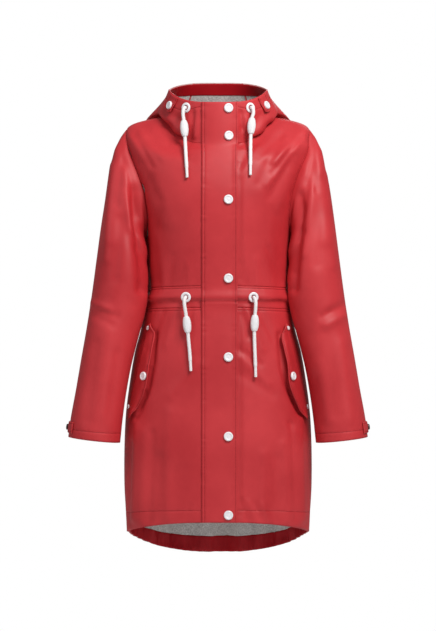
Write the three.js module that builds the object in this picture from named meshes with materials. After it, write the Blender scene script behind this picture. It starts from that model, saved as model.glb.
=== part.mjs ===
import * as THREE from 'three';

// A hooded rain coat, filled out as it is worn. Millimetres, +Z up, the front faces -Y.
// The origin is the middle of the base of the neck, where the wearer's shoulders carry it.

const CLOTH = 2;              // thickness of the coated cloth
const SEAM = 0.4;             // gap left between two pieces that are sewn together
const LAID = 1;               // gap under a piece that lies on a panel
const SLEEVE_CLEAR = 3;       // gap between a sleeve and the side of the coat
const DEGREE = Math.PI / 180;
const SIDE_SEAM = 90 * DEGREE;
const HALF_TURN = Math.PI;

// Rings of the coat from the top edge of the throat down to the hem.
// zFront, zSide and zBack are the heights of a ring, half is its half width, mid is where it is
// widest, front and back are its depths from there, square is 2 for an ellipse and more for a box,
// and a larger dip keeps the front low further round.
const RINGS = table(
  ['zFront', 'zSide', 'zBack', 'half', 'mid', 'front', 'back', 'square', 'dip'],
  [
    [24, 60, 83, 101, -6, 90, 82, 2.1, 1.5],      // 0 top edge of the throat
    [-18, 30, 45, 90, -6, 92, 76, 2.1, 2],        // 1 middle of the throat
    [-57, 6, 16, 82, -6, 93, 70, 2.1, 2.6],       // 2 neck seam
    [-74, 0, -4, 138, 2, 106, 86, 2.15, 1.9],     // 3 shoulder
    [-97, -20, -33, 187, 6, 118, 93, 2.2, 1.3],   // 4 shoulder point
    [-130, -72, -80, 186, 8, 128, 96, 2.2, 1],    // 5 across the chest
    [-158, -114, -122, 176, 10, 134, 97, 2.2, 1], // 6
    [-188, -158, -164, 165, 12, 137, 96, 2.2, 1], // 7 fullest part of the chest
    [-218, -204, -206, 155, 13, 136, 93, 2.2, 1], // 8
    [-250, -247, -247, 150, 14, 132, 89, 2.2, 1], // 9 underarm
    [-298, -298, -298, 149, 14, 125, 84, 2.2, 1], // 10
    [-344, -348, -347, 150, 14, 119, 81, 2.2, 1], // 11 upper seam of the waist band
    [-366, -369, -368, 155, 14, 122, 86, 2.2, 1], // 12 cloth bloused over the drawcord
    [-374, -377, -376, 149, 14, 117, 81, 2.2, 1], // 13 fold under it
    [-387, -391, -390, 152, 14, 118, 84, 2.2, 1], // 14 lower seam of the waist band
    [-430, -430, -430, 158, 13, 121, 94, 2.2, 1], // 15
    [-480, -480, -480, 171, 12, 124, 110, 2.2, 1], // 16
    [-540, -540, -540, 181, 10, 126, 123, 2.2, 1], // 17
    [-605, -605, -605, 189, 8, 128, 130, 2.2, 1], // 18
    [-675, -675, -680, 192, 6, 130, 134, 2.2, 1], // 19
    [-745, -748, -770, 192, 6, 133, 136, 2.2, 1], // 20
    [-790, -805, -845, 189, 6, 136, 137, 2.2, 1.3], // 21
    [-814, -846, -904, 187, 6, 137, 137, 2.2, 1.25], // 22 hem
  ],
);
const NECK = 2;
const SHOULDER_POINT = 4;
const UNDERARM = 9;
const BAND_TOP = 11;
const BAND_BOTTOM = 14;
const HEM = 22;
const RING_TILT = 1.6;        // how a ring's height runs from the side to the front and back

// The armhole: how far its seam lies in front of and behind the side, at its widest.
const ARMHOLE_FRONT = 29 * DEGREE;
const ARMHOLE_BACK = 22 * DEGREE;
const ARMHOLE_STEPS = 8;      // steps from the shoulder point down to the underarm

// Rings of a sleeve from the armhole to the cuff: where each meets the body side and the outer
// side, its middle in depth, and its depths in front of and behind that.
const SLEEVE_RINGS = table(
  ['innerX', 'innerZ', 'outerX', 'outerZ', 'midY', 'front', 'back'],
  [
    [150, -247, 187, -20, 4, 62, 48],
    [146, -257, 202, -43, -2, 66, 54],
    [141, -267, 212, -73, -8, 66, 58],
    [138, -280, 220, -114, -15, 65, 60],
    [140, -298, 229, -163, -18, 66, 60],
    [138, -322, 237.5, -218, -27, 64, 60],
    [138.5, -354, 246, -282, -32, 62, 60],
    [148, -402, 256, -357, -33, 60, 60],
    [162, -450, 266, -423, -35, 59, 59],
    [176, -505, 277.5, -490, -39, 58, 58],
    [186, -560, 288, -553, -43, 56, 56],
    [193, -612, 297.5, -606, -48, 54, 54],
    [198, -660, 303, -648, -51, 52, 52],
  ],
);
const CUFF = 12;
const CAP_RINGS = 4;          // rings over which the sleeve turns from the armhole to a round tube
const SLEEVE_STEPS = 2 * ARMHOLE_STEPS;

// The largest folds: a line on the front or the back as it is seen from there, the half width of
// the fold, and how far it stands out, or sinks in where that is negative.
const FOLDS = table(
  ['face', 'x1', 'z1', 'x2', 'z2', 'width', 'rise'],
  [
    ['front', 148, -15, 102, -97, 11, -2.2],   // chest, viewer's right
    ['front', 100, -100, 82, -138, 10, -1.8],
    ['front', 156, -24, 146, -66, 9, -1.6],
    ['front', 138, -40, 118, -95, 9, 1.8],
    ['front', -150, -20, -118, -90, 12, -1.6], // chest, viewer's left
    ['front', -120, -150, -95, -215, 14, 1.4],
    ['front', 120, -190, 128, -330, 12, -2],   // sides of the bodice
    ['front', -122, -200, -126, -330, 12, -2],
    ['front', -190, -86, -156, -200, 9, -3.5], // sleeves under the front of the armhole
    ['front', -178, -150, -158, -235, 8, -3],
    ['front', -205, -66, -217, -250, 14, 3.5],
    ['front', 186, -97, 170, -235, 9, -4],
    ['front', 166, -235, 150, -312, 9, -4],
    ['front', 205, -70, 214, -250, 14, 3.5],
    ['front', -240, -392, -205, -405, 9, -3],  // elbows
    ['front', 243, -392, 208, -405, 9, -3],
    ['front', -150, -640, -158, -815, 15, 4],  // skirt, towards the sides
    ['front', -118, -690, -112, -815, 16, -3.5],
    ['front', 150, -640, 158, -815, 15, 4],
    ['front', 118, -690, 112, -815, 16, -3.5],
    ['front', 66, -700, 60, -815, 22, -2],
    ['front', -78, -720, -74, -815, 22, -2],
    ['back', -90, -620, -100, -880, 22, 5],    // back of the skirt
    ['back', -40, -660, -44, -890, 20, -5],
    ['back', 8, -620, 4, -900, 20, 5],
    ['back', 50, -660, 56, -890, 20, -5],
    ['back', 98, -620, 108, -880, 22, 5],
    ['back', -150, -660, -156, -850, 18, -4],
    ['back', 150, -660, 156, -850, 18, -4],
    ['back', -60, -260, -48, -335, 16, -3],    // back above the waist
    ['back', 12, -250, 8, -335, 16, -3],
    ['back', 70, -260, 60, -335, 16, -3],
    ['back', -190, -90, -150, -200, 10, -4],   // backs of the sleeves
    ['back', 190, -90, 150, -200, 10, -4],
    ['back', -238, -380, -190, -410, 10, -4],
    ['back', 238, -380, 190, -410, 10, -4],
  ],
);

// Gathers that the two drawcord channels and the hem's elastic draw into the cloth.
const WAIST_GATHERS = 12;
const WAIST_GATHER_RISE = 1.3;
const HEM_GATHERS = 12;
const HEM_GATHER_RISE = 1.5;

// The placket, its snaps and the meeting line of the fronts under it.
const PLACKET_LEFT = -33;
const PLACKET_RIGHT = 38;
const FRONT_MEETING = -5;
const PLACKET_SNAP_X = 20.5;
const PLACKET_SNAPS_Z = [12, -43, -172.5, -328, -486, -643.5, -799];

// The hood lies open round the neck. Columns are the angle from the front, how far down the
// shoulder its underside runs in rings of the coat, how far the roll stands off the coat there,
// and how far it bulges out past that line, and how much of this there is.
const HOOD = table(
  ['angle', 'reach', 'lift', 'bulge', 'folded'],
  [
    [0, 0.2, 2, 0, 0],
    [22, 0.2, 2, 1, 0],
    [42, 0.15, 4, 5, 0.7],
    [60, 0.36, 7, 8, 1],
    [80, 0.64, 8, 9, 1],
    [100, 0.85, 9, 9, 1],
    [126, 1.7, 12, 21, 1],
    [153, 2.8, 15, 31, 1],
    [180, 3.25, 16, 34, 1],
    [207, 2.8, 15, 31, 1],
  ],
);
const HOOD_GUSSET = 150 * DEGREE;   // where the hood's side panels meet its middle strip
const HOOD_ROWS = 10;
const HOOD_START = 0.9;             // how far the hood's underside starts above the neck seam
const RIM_FACING_ROWS = [1, 14, 27];  // the facing's rows, down from the hood's edge
const TAB_WIDTH = 28;
const TAB_LENGTH = 40;
const TAB_POINT = 6;
const TAB_ANGLE = 64 * DEGREE;

// The pocket flaps: their root seam runs down and back, with a shallow point at the snap.
const FLAP_ROOT_TOP = { x: 140, z: -421 };
const FLAP_ROOT_BOTTOM = { x: 182.5, z: -593 };
const FLAP_WIDTHS = [15, 31, 34, 36, 39, 42, 40, 32, 20];
const FLAP_TAIL = 20;               // how much lower the free edge lies than the root at its foot
const FLAP_LIFT = 9;
const FLAP_LAID = 0.8;
const FLAP_SNAP = { u: 0.56, v: 0.78 };
const FLAP_RIVETS = { top: { u: 0.045, v: 0.3 }, foot: { u: 0.95, v: 0.2 } };

// Hard pieces, as radius and height.
const HARD_SIDES = 14;
const SNAP = { radius: 9.4, height: 4.2, dimple: 4.6, rim: 7.4 };
const SMALL_SNAP = { radius: 8.6, height: 4, dimple: 4.2, rim: 6.8 };
const CUFF_SNAP = { radius: 6, height: 3.2, dimple: 3, rim: 4.6 };
const RIVET = { radius: 4.6, height: 2.6, dimple: 1.6, rim: 3.2 };
const EYELET = { outer: 10.4, hole: 4.9, height: 2 };
const CORD_RADIUS = 3.5;
const CORD_SIDES = 8;
const CORD_STEPS = 20;
const STOPPER = { width: 8.2, depth: 6.2, bore: 4.2, steps: 12, rows: 6 };

// Each drawcord leaves an eyelet, hangs through its stopper and ends bare. The route is its middle
// line, and the stopper sits between the two points that are named by their places in the list.
const HOOD_EYELET = { left: -39 * DEGREE, right: 39.6 * DEGREE, up: 0.875 };
const WAIST_EYELET = { left: -64, right: 71, place: 12 };
const DRAWCORDS = {
  hood_left: {
    stopper: [5, 6],
    route: [
      [-64.95, -78.95, 14.5], [-67.1, -82.6, 14], [-69.1, -86, 10.6], [-70, -87.6, 5],
      [-69.8, -88.2, -3], [-68.6, -88.8, -12], [-66.2, -91.8, -44], [-65.8, -94.2, -52],
      [-65.4, -98, -60], [-64.8, -102.6, -70], [-64.2, -107.6, -80], [-63.6, -111.8, -90],
      [-62.8, -115.2, -101], [-62.2, -117.8, -113], [-61.6, -119.8, -123], [-61.3, -120.6, -129],
    ],
  },
  hood_right: {
    stopper: [5, 6],
    route: [
      [65.95, -78.35, 14.5], [68.1, -82.1, 14], [70.1, -85.5, 10.8], [70.9, -87.2, 6],
      [70.3, -88, -0.5], [68.4, -88.6, -7], [65.8, -91.4, -39], [65.4, -93.6, -48],
      [65.2, -97.2, -57], [65, -101.8, -68], [64.9, -107, -79], [64.8, -111.6, -90],
      [64.7, -115.2, -102], [64.6, -117.7, -113], [64.5, -119, -120], [64.5, -119.5, -124],
    ],
  },
  waist_left: {
    stopper: [6, 7],
    route: [
      [-64.1, -101.2, -365.4], [-66, -106.9, -369], [-67, -109.9, -373.4], [-67, -111.3, -379.4],
      [-66.3, -111.5, -386], [-64.8, -111, -395], [-63.4, -110.8, -405], [-60, -111.4, -437],
      [-59.2, -111.7, -447], [-58.2, -112.3, -458], [-57, -113.2, -470], [-55.9, -114.3, -483],
      [-55, -115.3, -496], [-54.4, -116, -506], [-54, -116.5, -514],
    ],
  },
  waist_right: {
    stopper: [6, 7],
    route: [
      [71.4, -98.6, -366], [73.9, -104.2, -369.6], [75.1, -107.1, -374], [75.4, -108.5, -380.4],
      [75, -108.6, -388], [74.5, -108.2, -395], [73.9, -107.8, -402], [72.6, -108.4, -434],
      [72.6, -108.8, -445], [72.9, -109.4, -458], [73.4, -110.2, -472], [74, -111, -487],
      [74.5, -111.8, -501], [74.9, -112.4, -514], [75.1, -112.9, -526],
    ],
  },
};

const COLOURS = {
  coat: 0xb93f41,
  shade: 0x83202a,
  white: 0xeeecf1,
  dark: 0x4a3d3a,
};

function table(columns, rows) {
  return rows.map((row) => Object.fromEntries(columns.map((name, i) => [name, row[i]])));
}

// A row of a table at a place between its rows, on a smooth curve through them.
function between(rows, place) {
  const last = rows.length - 1;
  const i = Math.min(Math.max(Math.floor(place), 0), last - 1);
  const t = place - i;
  const near = [i - 1, i, i + 1, i + 2].map((k) => rows[Math.min(Math.max(k, 0), last)]);
  const out = {};
  for (const name of Object.keys(rows[0])) {
    const [a, b, c, d] = near.map((row) => row[name]);
    const slopeB = (c - a) / 2;
    const slopeC = (d - b) / 2;
    out[name] = b + slopeB * t + (3 * (c - b) - 2 * slopeB - slopeC) * t * t
      + (2 * (b - c) + slopeB + slopeC) * t * t * t;
  }
  return out;
}

function smooth(from, to, x) {
  const t = Math.min(Math.max((x - from) / (to - from), 0), 1);
  return t * t * (3 - 2 * t);
}

// The normal of a surface that is given by two numbers, worked out from small steps.
function normalOf(surface, u, v) {
  const step = 0.002;
  const across = surface(u + step, v).sub(surface(u - step, v));
  const down = surface(u, v + step).sub(surface(u, v - step));
  return across.cross(down).normalize();
}

// How far the folds raise the cloth at a point.
function foldsAt(face, x, z) {
  let rise = 0;
  for (const fold of FOLDS) {
    if (fold.face !== face) {
      continue;
    }
    const runX = fold.x2 - fold.x1;
    const runZ = fold.z2 - fold.z1;
    const along = ((x - fold.x1) * runX + (z - fold.z1) * runZ) / (runX * runX + runZ * runZ);
    const t = Math.min(Math.max(along, 0), 1);
    const away = Math.hypot(x - fold.x1 - t * runX, z - fold.z1 - t * runZ);
    rise += fold.rise * Math.exp(-((away / fold.width) ** 2));
  }
  return rise;
}

// The coat's own surface

function ringPoint(angle, place) {
  const ring = between(RINGS, place);
  const s = Math.sin(angle);
  const c = Math.cos(angle);
  const size = (Math.abs(s) ** ring.square + Math.abs(c) ** ring.square) ** (1 / ring.square);
  const ahead = c > 0;
  const depth = ahead ? ring.front : ring.back;
  const tilt = 1 - (1 - Math.abs(c) ** RING_TILT) ** ring.dip;
  return new THREE.Vector3(
    (ring.half * s) / size,
    ring.mid - (depth * c) / size,
    ring.zSide + ((ahead ? ring.zFront : ring.zBack) - ring.zSide) * tilt,
  );
}

function coatNormal(angle, place) {
  return normalOf(ringPoint, angle, place).negate();
}

function gathersAt(angle, place) {
  const beside = smooth(0.35, 0.6, Math.abs(Math.sin(angle / 2)) * 2);
  const waist = Math.exp(-(((place - 12.6) / 1.3) ** 2)) * WAIST_GATHER_RISE * beside;
  const behind = smooth(0.1, -0.5, Math.cos(angle));
  const hem = smooth(HEM - 1.2, HEM, place) * behind * HEM_GATHER_RISE;
  return waist * Math.sin(WAIST_GATHERS * angle) + hem * Math.sin(HEM_GATHERS * angle);
}

function coatPoint(angle, place, out = 0) {
  const at = ringPoint(angle, place);
  const normal = coatNormal(angle, place);
  const face = Math.cos(angle) > 0 ? 'front' : 'back';
  const sideFade = smooth(0, 0.25, Math.abs(Math.cos(angle)));
  const rise = foldsAt(face, at.x, at.z) * sideFade + gathersAt(angle, place);
  return at.addScaledVector(normal, out + rise);
}

// The angle at which a ring of the coat reaches a distance to the side, on the front.
function angleAt(x, place) {
  let low = -SIDE_SEAM;
  let high = SIDE_SEAM;
  for (let i = 0; i < 40; i += 1) {
    const middle = (low + high) / 2;
    if (ringPoint(middle, place).x < x) {
      low = middle;
    } else {
      high = middle;
    }
  }
  return (low + high) / 2;
}

// The ring at which the front of the coat reaches a height.
function placeAtHeight(x, z) {
  let low = 0;
  let high = HEM;
  for (let i = 0; i < 40; i += 1) {
    const middle = (low + high) / 2;
    if (ringPoint(angleAt(x, middle), middle).z > z) {
      low = middle;
    } else {
      high = middle;
    }
  }
  return (low + high) / 2;
}

function armholeOpen(place) {
  const t = (place - SHOULDER_POINT) / (UNDERARM - SHOULDER_POINT);
  return t > 0 && t < 1 ? 2 * Math.sqrt(t * (1 - t)) : 0;
}

// A wall between two surfaces, from a grid of places that runs across and down.

function closedWall(columns, rows, isRing, outerAt, innerAt) {
  const points = [];
  const faces = [];
  const across = isRing ? columns : columns + 1;
  for (const at of [outerAt, innerAt]) {
    for (let j = 0; j <= rows; j += 1) {
      for (let i = 0; i < across; i += 1) {
        const p = at(i / columns, j / rows, i, j);
        points.push(p.x, p.y, p.z);
      }
    }
  }
  const layer = across * (rows + 1);
  const outer = (i, j) => j * across + (i % across);
  const inner = (i, j) => layer + outer(i, j);
  const quad = (a, b, c, d) => faces.push(a, b, c, a, c, d);
  for (let j = 0; j < rows; j += 1) {
    for (let i = 0; i < columns; i += 1) {
      quad(outer(i, j), outer(i, j + 1), outer(i + 1, j + 1), outer(i + 1, j));
      quad(inner(i, j), inner(i + 1, j), inner(i + 1, j + 1), inner(i, j + 1));
    }
  }
  for (let i = 0; i < columns; i += 1) {
    quad(outer(i, 0), outer(i + 1, 0), inner(i + 1, 0), inner(i, 0));
    quad(outer(i, rows), inner(i, rows), inner(i + 1, rows), outer(i + 1, rows));
  }
  for (let j = 0; j < rows && !isRing; j += 1) {
    quad(outer(0, j), inner(0, j), inner(0, j + 1), outer(0, j + 1));
    quad(outer(columns, j), outer(columns, j + 1), inner(columns, j + 1), inner(columns, j));
  }
  return facingOut(points, faces);
}

function facingOut(points, faces) {
  let volume = 0;
  const corner = (k) => new THREE.Vector3().fromArray(points, 3 * k);
  for (let i = 0; i < faces.length; i += 3) {
    const [a, b, c] = [corner(faces[i]), corner(faces[i + 1]), corner(faces[i + 2])];
    volume += a.dot(b.cross(c));
  }
  if (volume < 0) {
    faces.reverse();
  }
  const geometry = new THREE.BufferGeometry();
  geometry.setAttribute('position', new THREE.Float32BufferAttribute(points, 3));
  geometry.setIndex(faces);
  geometry.computeVertexNormals();
  return geometry;
}

const coat = new THREE.Group();

function add(name, geometry, colour, roughness = 0.42) {
  const material = new THREE.MeshStandardMaterial({ color: colour, roughness, metalness: 0 });
  const mesh = new THREE.Mesh(geometry, material);
  mesh.name = name;
  coat.add(mesh);
  return mesh;
}

// Panels of the body

const BACK_COLUMNS = 24;

function steps(from, to, count) {
  return Array.from({ length: count + 1 }, (_, i) => from + ((to - from) * i) / count);
}

const ARMHOLE_PLACES = steps(0, 1, ARMHOLE_STEPS).map(
  (t) => SHOULDER_POINT + ((UNDERARM - SHOULDER_POINT) * (1 - Math.cos(Math.PI * t))) / 2,
);
const BODICE_PLACES = [NECK, 2.6, 3.3, ...ARMHOLE_PLACES, 9.5, 10, 10.5, BAND_TOP];
const BAND_PLACES = [BAND_TOP, 11.5, 12, 12.6, 13, 13.5, BAND_BOTTOM];
const SKIRT_PLACES = [BAND_BOTTOM, 14.5, 15, 16, 17, 18, 19, 20, 21, 21.5, HEM];

// The step in a number that moves a point on the surface by a given distance.
function stepFor(distance, near, far, change) {
  return (distance * change) / near.distanceTo(far);
}

// A panel between two edges, each given as an angle for a place on the coat.
function panel(name, places, columns, firstEdge, lastEdge) {
  const rows = places.length - 1;
  const small = 0.01;
  const place = (angle, j) => {
    const here = coatPoint(angle, places[j]);
    if (j === 0) {
      return places[j] + stepFor(SEAM / 2, here, coatPoint(angle, places[j] + small), small);
    }
    if (j === rows && places[j] < HEM) {
      return places[j] - stepFor(SEAM / 2, here, coatPoint(angle, places[j] - small), small);
    }
    return places[j];
  };
  const angleOf = (u, i, j) => {
    const first = firstEdge(places[j]);
    const last = lastEdge(places[j]);
    const angle = first + (last - first) * u;
    const inset = stepFor(
      SEAM / 2,
      coatPoint(angle, places[j]),
      coatPoint(angle + small, places[j]),
      small,
    );
    return angle + (i === 0 ? inset : 0) - (i === columns ? inset : 0);
  };
  const at = (out) => (u, v, i, j) => {
    const angle = angleOf(u, i, j);
    return coatPoint(angle, place(angle, j), out);
  };
  add(name, closedWall(columns, rows, false, at(0), at(-CLOTH)), COLOURS.coat);
}

const meeting = (place) => angleAt(FRONT_MEETING, place);
const frontArmhole = (place) => SIDE_SEAM - ARMHOLE_FRONT * armholeOpen(place);
const backArmhole = (place) => SIDE_SEAM + ARMHOLE_BACK * armholeOpen(place);
const BODY_PARTS = [
  ['bodice', BODICE_PLACES, 9, 18],
  ['waist_band', BAND_PLACES, 12, BACK_COLUMNS],
  ['skirt', SKIRT_PLACES, 10, BACK_COLUMNS],
];
for (const [part, places, frontColumns, backColumns] of BODY_PARTS) {
  panel(`${part}_front_left`, places, frontColumns, (p) => -frontArmhole(p), meeting);
  panel(`${part}_front_right`, places, frontColumns, meeting, frontArmhole);
  panel(`${part}_back`, places, backColumns, backArmhole, (p) => 2 * HALF_TURN - backArmhole(p));
}

// The facing that is turned up inside the back of the hem, drawn in by elastic
const HEM_FACING_PLACES = [HEM - 0.5, HEM - 0.02];
function hemFacing() {
  const inset = 1.5 * DEGREE;
  const at = (out) => (u, v, i, j) => {
    const ends = (i === 0 ? inset : 0) - (i === BACK_COLUMNS ? inset : 0);
    return coatPoint(SIDE_SEAM + HALF_TURN * u + ends, HEM_FACING_PLACES[j], out);
  };
  const outer = -CLOTH - LAID;
  return closedWall(BACK_COLUMNS, 1, false, at(outer), at(outer - CLOTH / 2));
}
add('hem_facing_back', hemFacing(), COLOURS.shade);

// The sleeves

function armholePoint(t) {
  const down = (1 - Math.cos(2 * Math.PI * t)) / 2;
  const place = SHOULDER_POINT + (UNDERARM - SHOULDER_POINT) * down;
  const widest = t < 0.5 ? -ARMHOLE_FRONT : ARMHOLE_BACK;
  return coatPoint(SIDE_SEAM + widest * Math.abs(Math.sin(2 * Math.PI * t)), place);
}

function sleeveRingPoint(t, place) {
  const ring = between(SLEEVE_RINGS, place);
  const c = Math.cos(2 * Math.PI * t);
  const s = Math.sin(2 * Math.PI * t);
  return new THREE.Vector3(
    (ring.innerX + ring.outerX) / 2 + ((ring.outerX - ring.innerX) / 2) * c,
    ring.midY - (s > 0 ? ring.front : ring.back) * s,
    (ring.innerZ + ring.outerZ) / 2 + ((ring.outerZ - ring.innerZ) / 2) * c,
  );
}

// How far to the side the coat reaches at a depth and height, below the shoulder.
function coatReach(y, z) {
  let low = SHOULDER_POINT;
  let high = HEM;
  for (let i = 0; i < 24; i += 1) {
    const middle = (low + high) / 2;
    if (between(RINGS, middle).zSide > z) {
      low = middle;
    } else {
      high = middle;
    }
  }
  const ring = between(RINGS, low);
  const t = Math.abs(y - ring.mid) / (y < ring.mid ? ring.front : ring.back);
  return t < 1 ? ring.half * (1 - t ** ring.square) ** (1 / ring.square) : 0;
}

function sleeveBase(t, place) {
  const at = sleeveRingPoint(t, place);
  const fade = Math.max(0, 1 - place / CAP_RINGS) ** 2;
  if (fade > 0) {
    const turn = ((t % 1) + 1) % 1;
    const off = armholePoint(turn).sub(sleeveRingPoint(turn, 0));
    at.addScaledVector(off, fade);
  }
  return at;
}

const REACH_SPAN = [-24, -12, 0, 12, 24];
function sleevePoint(side, t, place, out = 0) {
  const at = sleeveBase(t, place);
  const normal = normalOf(sleeveBase, t, Math.max(place, 0.01));
  const face = Math.sin(2 * Math.PI * t) > 0 ? 'front' : 'back';
  const fade = smooth(0, 1.2, place) * smooth(0, 0.3, Math.abs(Math.sin(2 * Math.PI * t)));
  at.addScaledVector(normal, foldsAt(face, side * at.x, at.z) * fade);
  if (place > 0.2 && normal.x < 0) {
    const reach = Math.max(...REACH_SPAN.map((dz) => coatReach(at.y, at.z + dz)));
    at.x = Math.max(at.x, reach + SLEEVE_CLEAR);
  }
  at.addScaledVector(normal, out);
  at.x *= side;
  return at;
}

const SLEEVE_PLACES = [0, 0.7, 1.5, 2.5, 3.5, 4.5, 5.5, 6.5, 7.2, 7.8, 8.5, 9.5, 10.5, 11.4, CUFF];
const SLEEVE_START = 0.03;
const SLEEVE_SEAM = 0.0007;    // half the gap at a sleeve's seams, as a share of the way round
function sleeveHalf(side, from) {
  const rows = SLEEVE_PLACES.length - 1;
  const at = (out) => (u, v, i, j) => {
    const t = from + SLEEVE_SEAM + (0.5 - 2 * SLEEVE_SEAM) * u;
    return sleevePoint(side, t, j === 0 ? SLEEVE_START : SLEEVE_PLACES[j], out);
  };
  return closedWall(SLEEVE_STEPS / 2, rows, false, at(0), at(-CLOTH));
}
for (const [name, side] of [['left', -1], ['right', 1]]) {
  add(`sleeve_front_${name}`, sleeveHalf(side, 0), COLOURS.coat);
  add(`sleeve_back_${name}`, sleeveHalf(side, 0.5), COLOURS.coat);
}

// The tab that narrows each cuff, on its outer side
const CUFF_TAB = { from: -0.13, to: 0.1, top: 11.22, bottom: 11.72 };
const CUFF_TAB_OUT = LAID + CLOTH;
function cuffTab(side) {
  const at = (out) => (u, v, i, j) => sleevePoint(
    side,
    CUFF_TAB.from + (CUFF_TAB.to - CUFF_TAB.from) * u,
    CUFF_TAB.top + (CUFF_TAB.bottom - CUFF_TAB.top) * v,
    out,
  );
  return closedWall(6, 2, false, at(CUFF_TAB_OUT), at(LAID));
}

// The placket, from the top of the throat down to the hem
const THROAT_PLACES = steps(0, NECK, HOOD_ROWS);
const PLACKET_PLACES = [
  ...THROAT_PLACES,
  ...BODICE_PLACES.slice(1),
  ...BAND_PLACES.slice(1),
  ...SKIRT_PLACES.slice(1),
];
const PLACKET_OUT = LAID + CLOTH;
function placket() {
  const at = (out) => (u, v, i, j) => {
    const x = PLACKET_LEFT + (PLACKET_RIGHT - PLACKET_LEFT) * u;
    return coatPoint(angleAt(x, PLACKET_PLACES[j]), PLACKET_PLACES[j], out);
  };
  return closedWall(4, PLACKET_PLACES.length - 1, false, at(PLACKET_OUT), at(LAID));
}
add('placket', placket(), COLOURS.coat);

// The hood, which lies open on the shoulders with its edge standing up behind the neck

function hoodShape(angle) {
  const turn = Math.acos(Math.cos(angle)) / DEGREE;
  let i = 0;
  while (i < HOOD.length - 2 && HOOD[i + 1].angle < turn) {
    i += 1;
  }
  const place = i + (turn - HOOD[i].angle) / (HOOD[i + 1].angle - HOOD[i].angle);
  return between(HOOD, place);
}

function bezier(a, b, c, d, t) {
  const s = 1 - t;
  return a.clone().multiplyScalar(s * s * s)
    .addScaledVector(b, 3 * s * s * t)
    .addScaledVector(c, 3 * s * t * t)
    .addScaledVector(d, t * t * t);
}

const HOOD_SAG = 0.12;        // how far the roll sags for each part that it bulges out
const UNDER_SHARE = 0.4;     // share of the hood's rows that lie on the shoulders
function hoodPoint(angle, up) {
  const shape = hoodShape(angle);
  const rim = ringPoint(angle, 0);
  const upright = ringPoint(angle, NECK - (NECK) * up);
  const under = Math.min(up / UNDER_SHARE, 1);
  const over = Math.max((up - UNDER_SHARE) / (1 - UNDER_SHARE), 0);
  const place = NECK + shape.reach * under;
  const low = ringPoint(angle, place);
  const lift = HOOD_START + (shape.lift - HOOD_START) * under;
  low.addScaledVector(coatNormal(angle, place), lift);
  if (over > 0) {
    const away = new THREE.Vector3(Math.sin(angle), -Math.cos(angle), 0);
    const rise = rim.z - low.z;
    const start = low.clone().addScaledVector(away, shape.bulge);
    start.z -= HOOD_SAG * shape.bulge;
    const finish = rim.clone().addScaledVector(away, shape.bulge * 0.5);
    finish.z -= 0.35 * rise;
    low.copy(bezier(low, start, finish, rim, over));
  }
  return upright.lerp(low, Math.min(Math.max(shape.folded, 0), 1));
}

function onHood(angle, up, out = 0) {
  const at = hoodPoint(angle, up);
  const safe = Math.min(Math.max(up, 0.003), 0.997);
  return at.addScaledVector(normalOf(hoodPoint, angle, safe), out);
}

// How far up the hood's section a length reaches when it is measured down from the edge.
function upAfter(angle, length) {
  const small = 0.01;
  let up = 1;
  let run = 0;
  let step = 1;
  let last = hoodPoint(angle, up);
  while (run < length) {
    up -= small;
    const next = hoodPoint(angle, up);
    step = next.distanceTo(last);
    run += step;
    last = next;
  }
  return up + (small * (run - length)) / step;
}

function hoodPanel(name, angles) {
  const columns = angles.length - 1;
  const edge = 0.25 * DEGREE;
  const at = (out) => (u, v, i, j) => {
    const inset = (i === 0 ? edge : 0) - (i === columns ? edge : 0);
    return onHood(angles[i] + inset, Math.max(v, 0.006), out);
  };
  add(name, closedWall(columns, HOOD_ROWS, false, at(0), at(-CLOTH)), COLOURS.coat);
}

const FRONT_OPEN = angleAt(FRONT_MEETING, 1);
const SIDE_ANGLES = (from, sign) => [
  ...steps(from, sign * SIDE_SEAM, 9),
  ...steps(sign * SIDE_SEAM, sign * HOOD_GUSSET, 6).slice(1),
];
const RIGHT_ANGLES = SIDE_ANGLES(FRONT_OPEN, 1);
const LEFT_ANGLES = SIDE_ANGLES(FRONT_OPEN, -1);
const MIDDLE_ANGLES = steps(2 * HALF_TURN - HOOD_GUSSET, HOOD_GUSSET, 6);
hoodPanel('hood_right', RIGHT_ANGLES);
hoodPanel('hood_left', LEFT_ANGLES.toReversed());
hoodPanel('hood_middle', MIDDLE_ANGLES.toReversed());

// The facing turned in at the hood's edge
function rimFacing() {
  const angles = [...LEFT_ANGLES, ...MIDDLE_ANGLES.slice(1), ...RIGHT_ANGLES.reverse().slice(1)];
  const inset = 0.6 * DEGREE;
  const columns = angles.length - 1;
  const at = (out) => (u, v, i, j) => {
    const ends = (i === columns ? inset : 0) - (i === 0 ? inset : 0);
    const turned = angles[i] < 0 ? angles[i] + 2 * HALF_TURN : angles[i];
    return onHood(turned - ends, upAfter(turned, RIM_FACING_ROWS[j]), out);
  };
  const outer = -CLOTH - LAID;
  return closedWall(columns, RIM_FACING_ROWS.length - 1, false, at(outer), at(outer - CLOTH / 2));
}
add('hood_facing', rimFacing(), COLOURS.shade);

// The strap at each side of the hood's edge, with a pointed end that a snap holds down

function hoodTab(side) {
  const half = TAB_WIDTH / 2 / hoodPoint(TAB_ANGLE, 0.9).setZ(0).length();
  const at = (out) => (u, v) => {
    const angle = side * (TAB_ANGLE + half * (2 * u - 1));
    const length = 2 + (TAB_LENGTH - TAB_POINT * Math.abs(2 * u - 1) ** 2 - 2) * v;
    return onHood(angle, upAfter(angle, length), out);
  };
  return closedWall(4, 4, false, at(LAID + CLOTH), at(LAID));
}

// The pocket flaps

function flapWidth(u) {
  return between(FLAP_WIDTHS.map((width) => ({ width })), u * (FLAP_WIDTHS.length - 1)).width;
}

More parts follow.
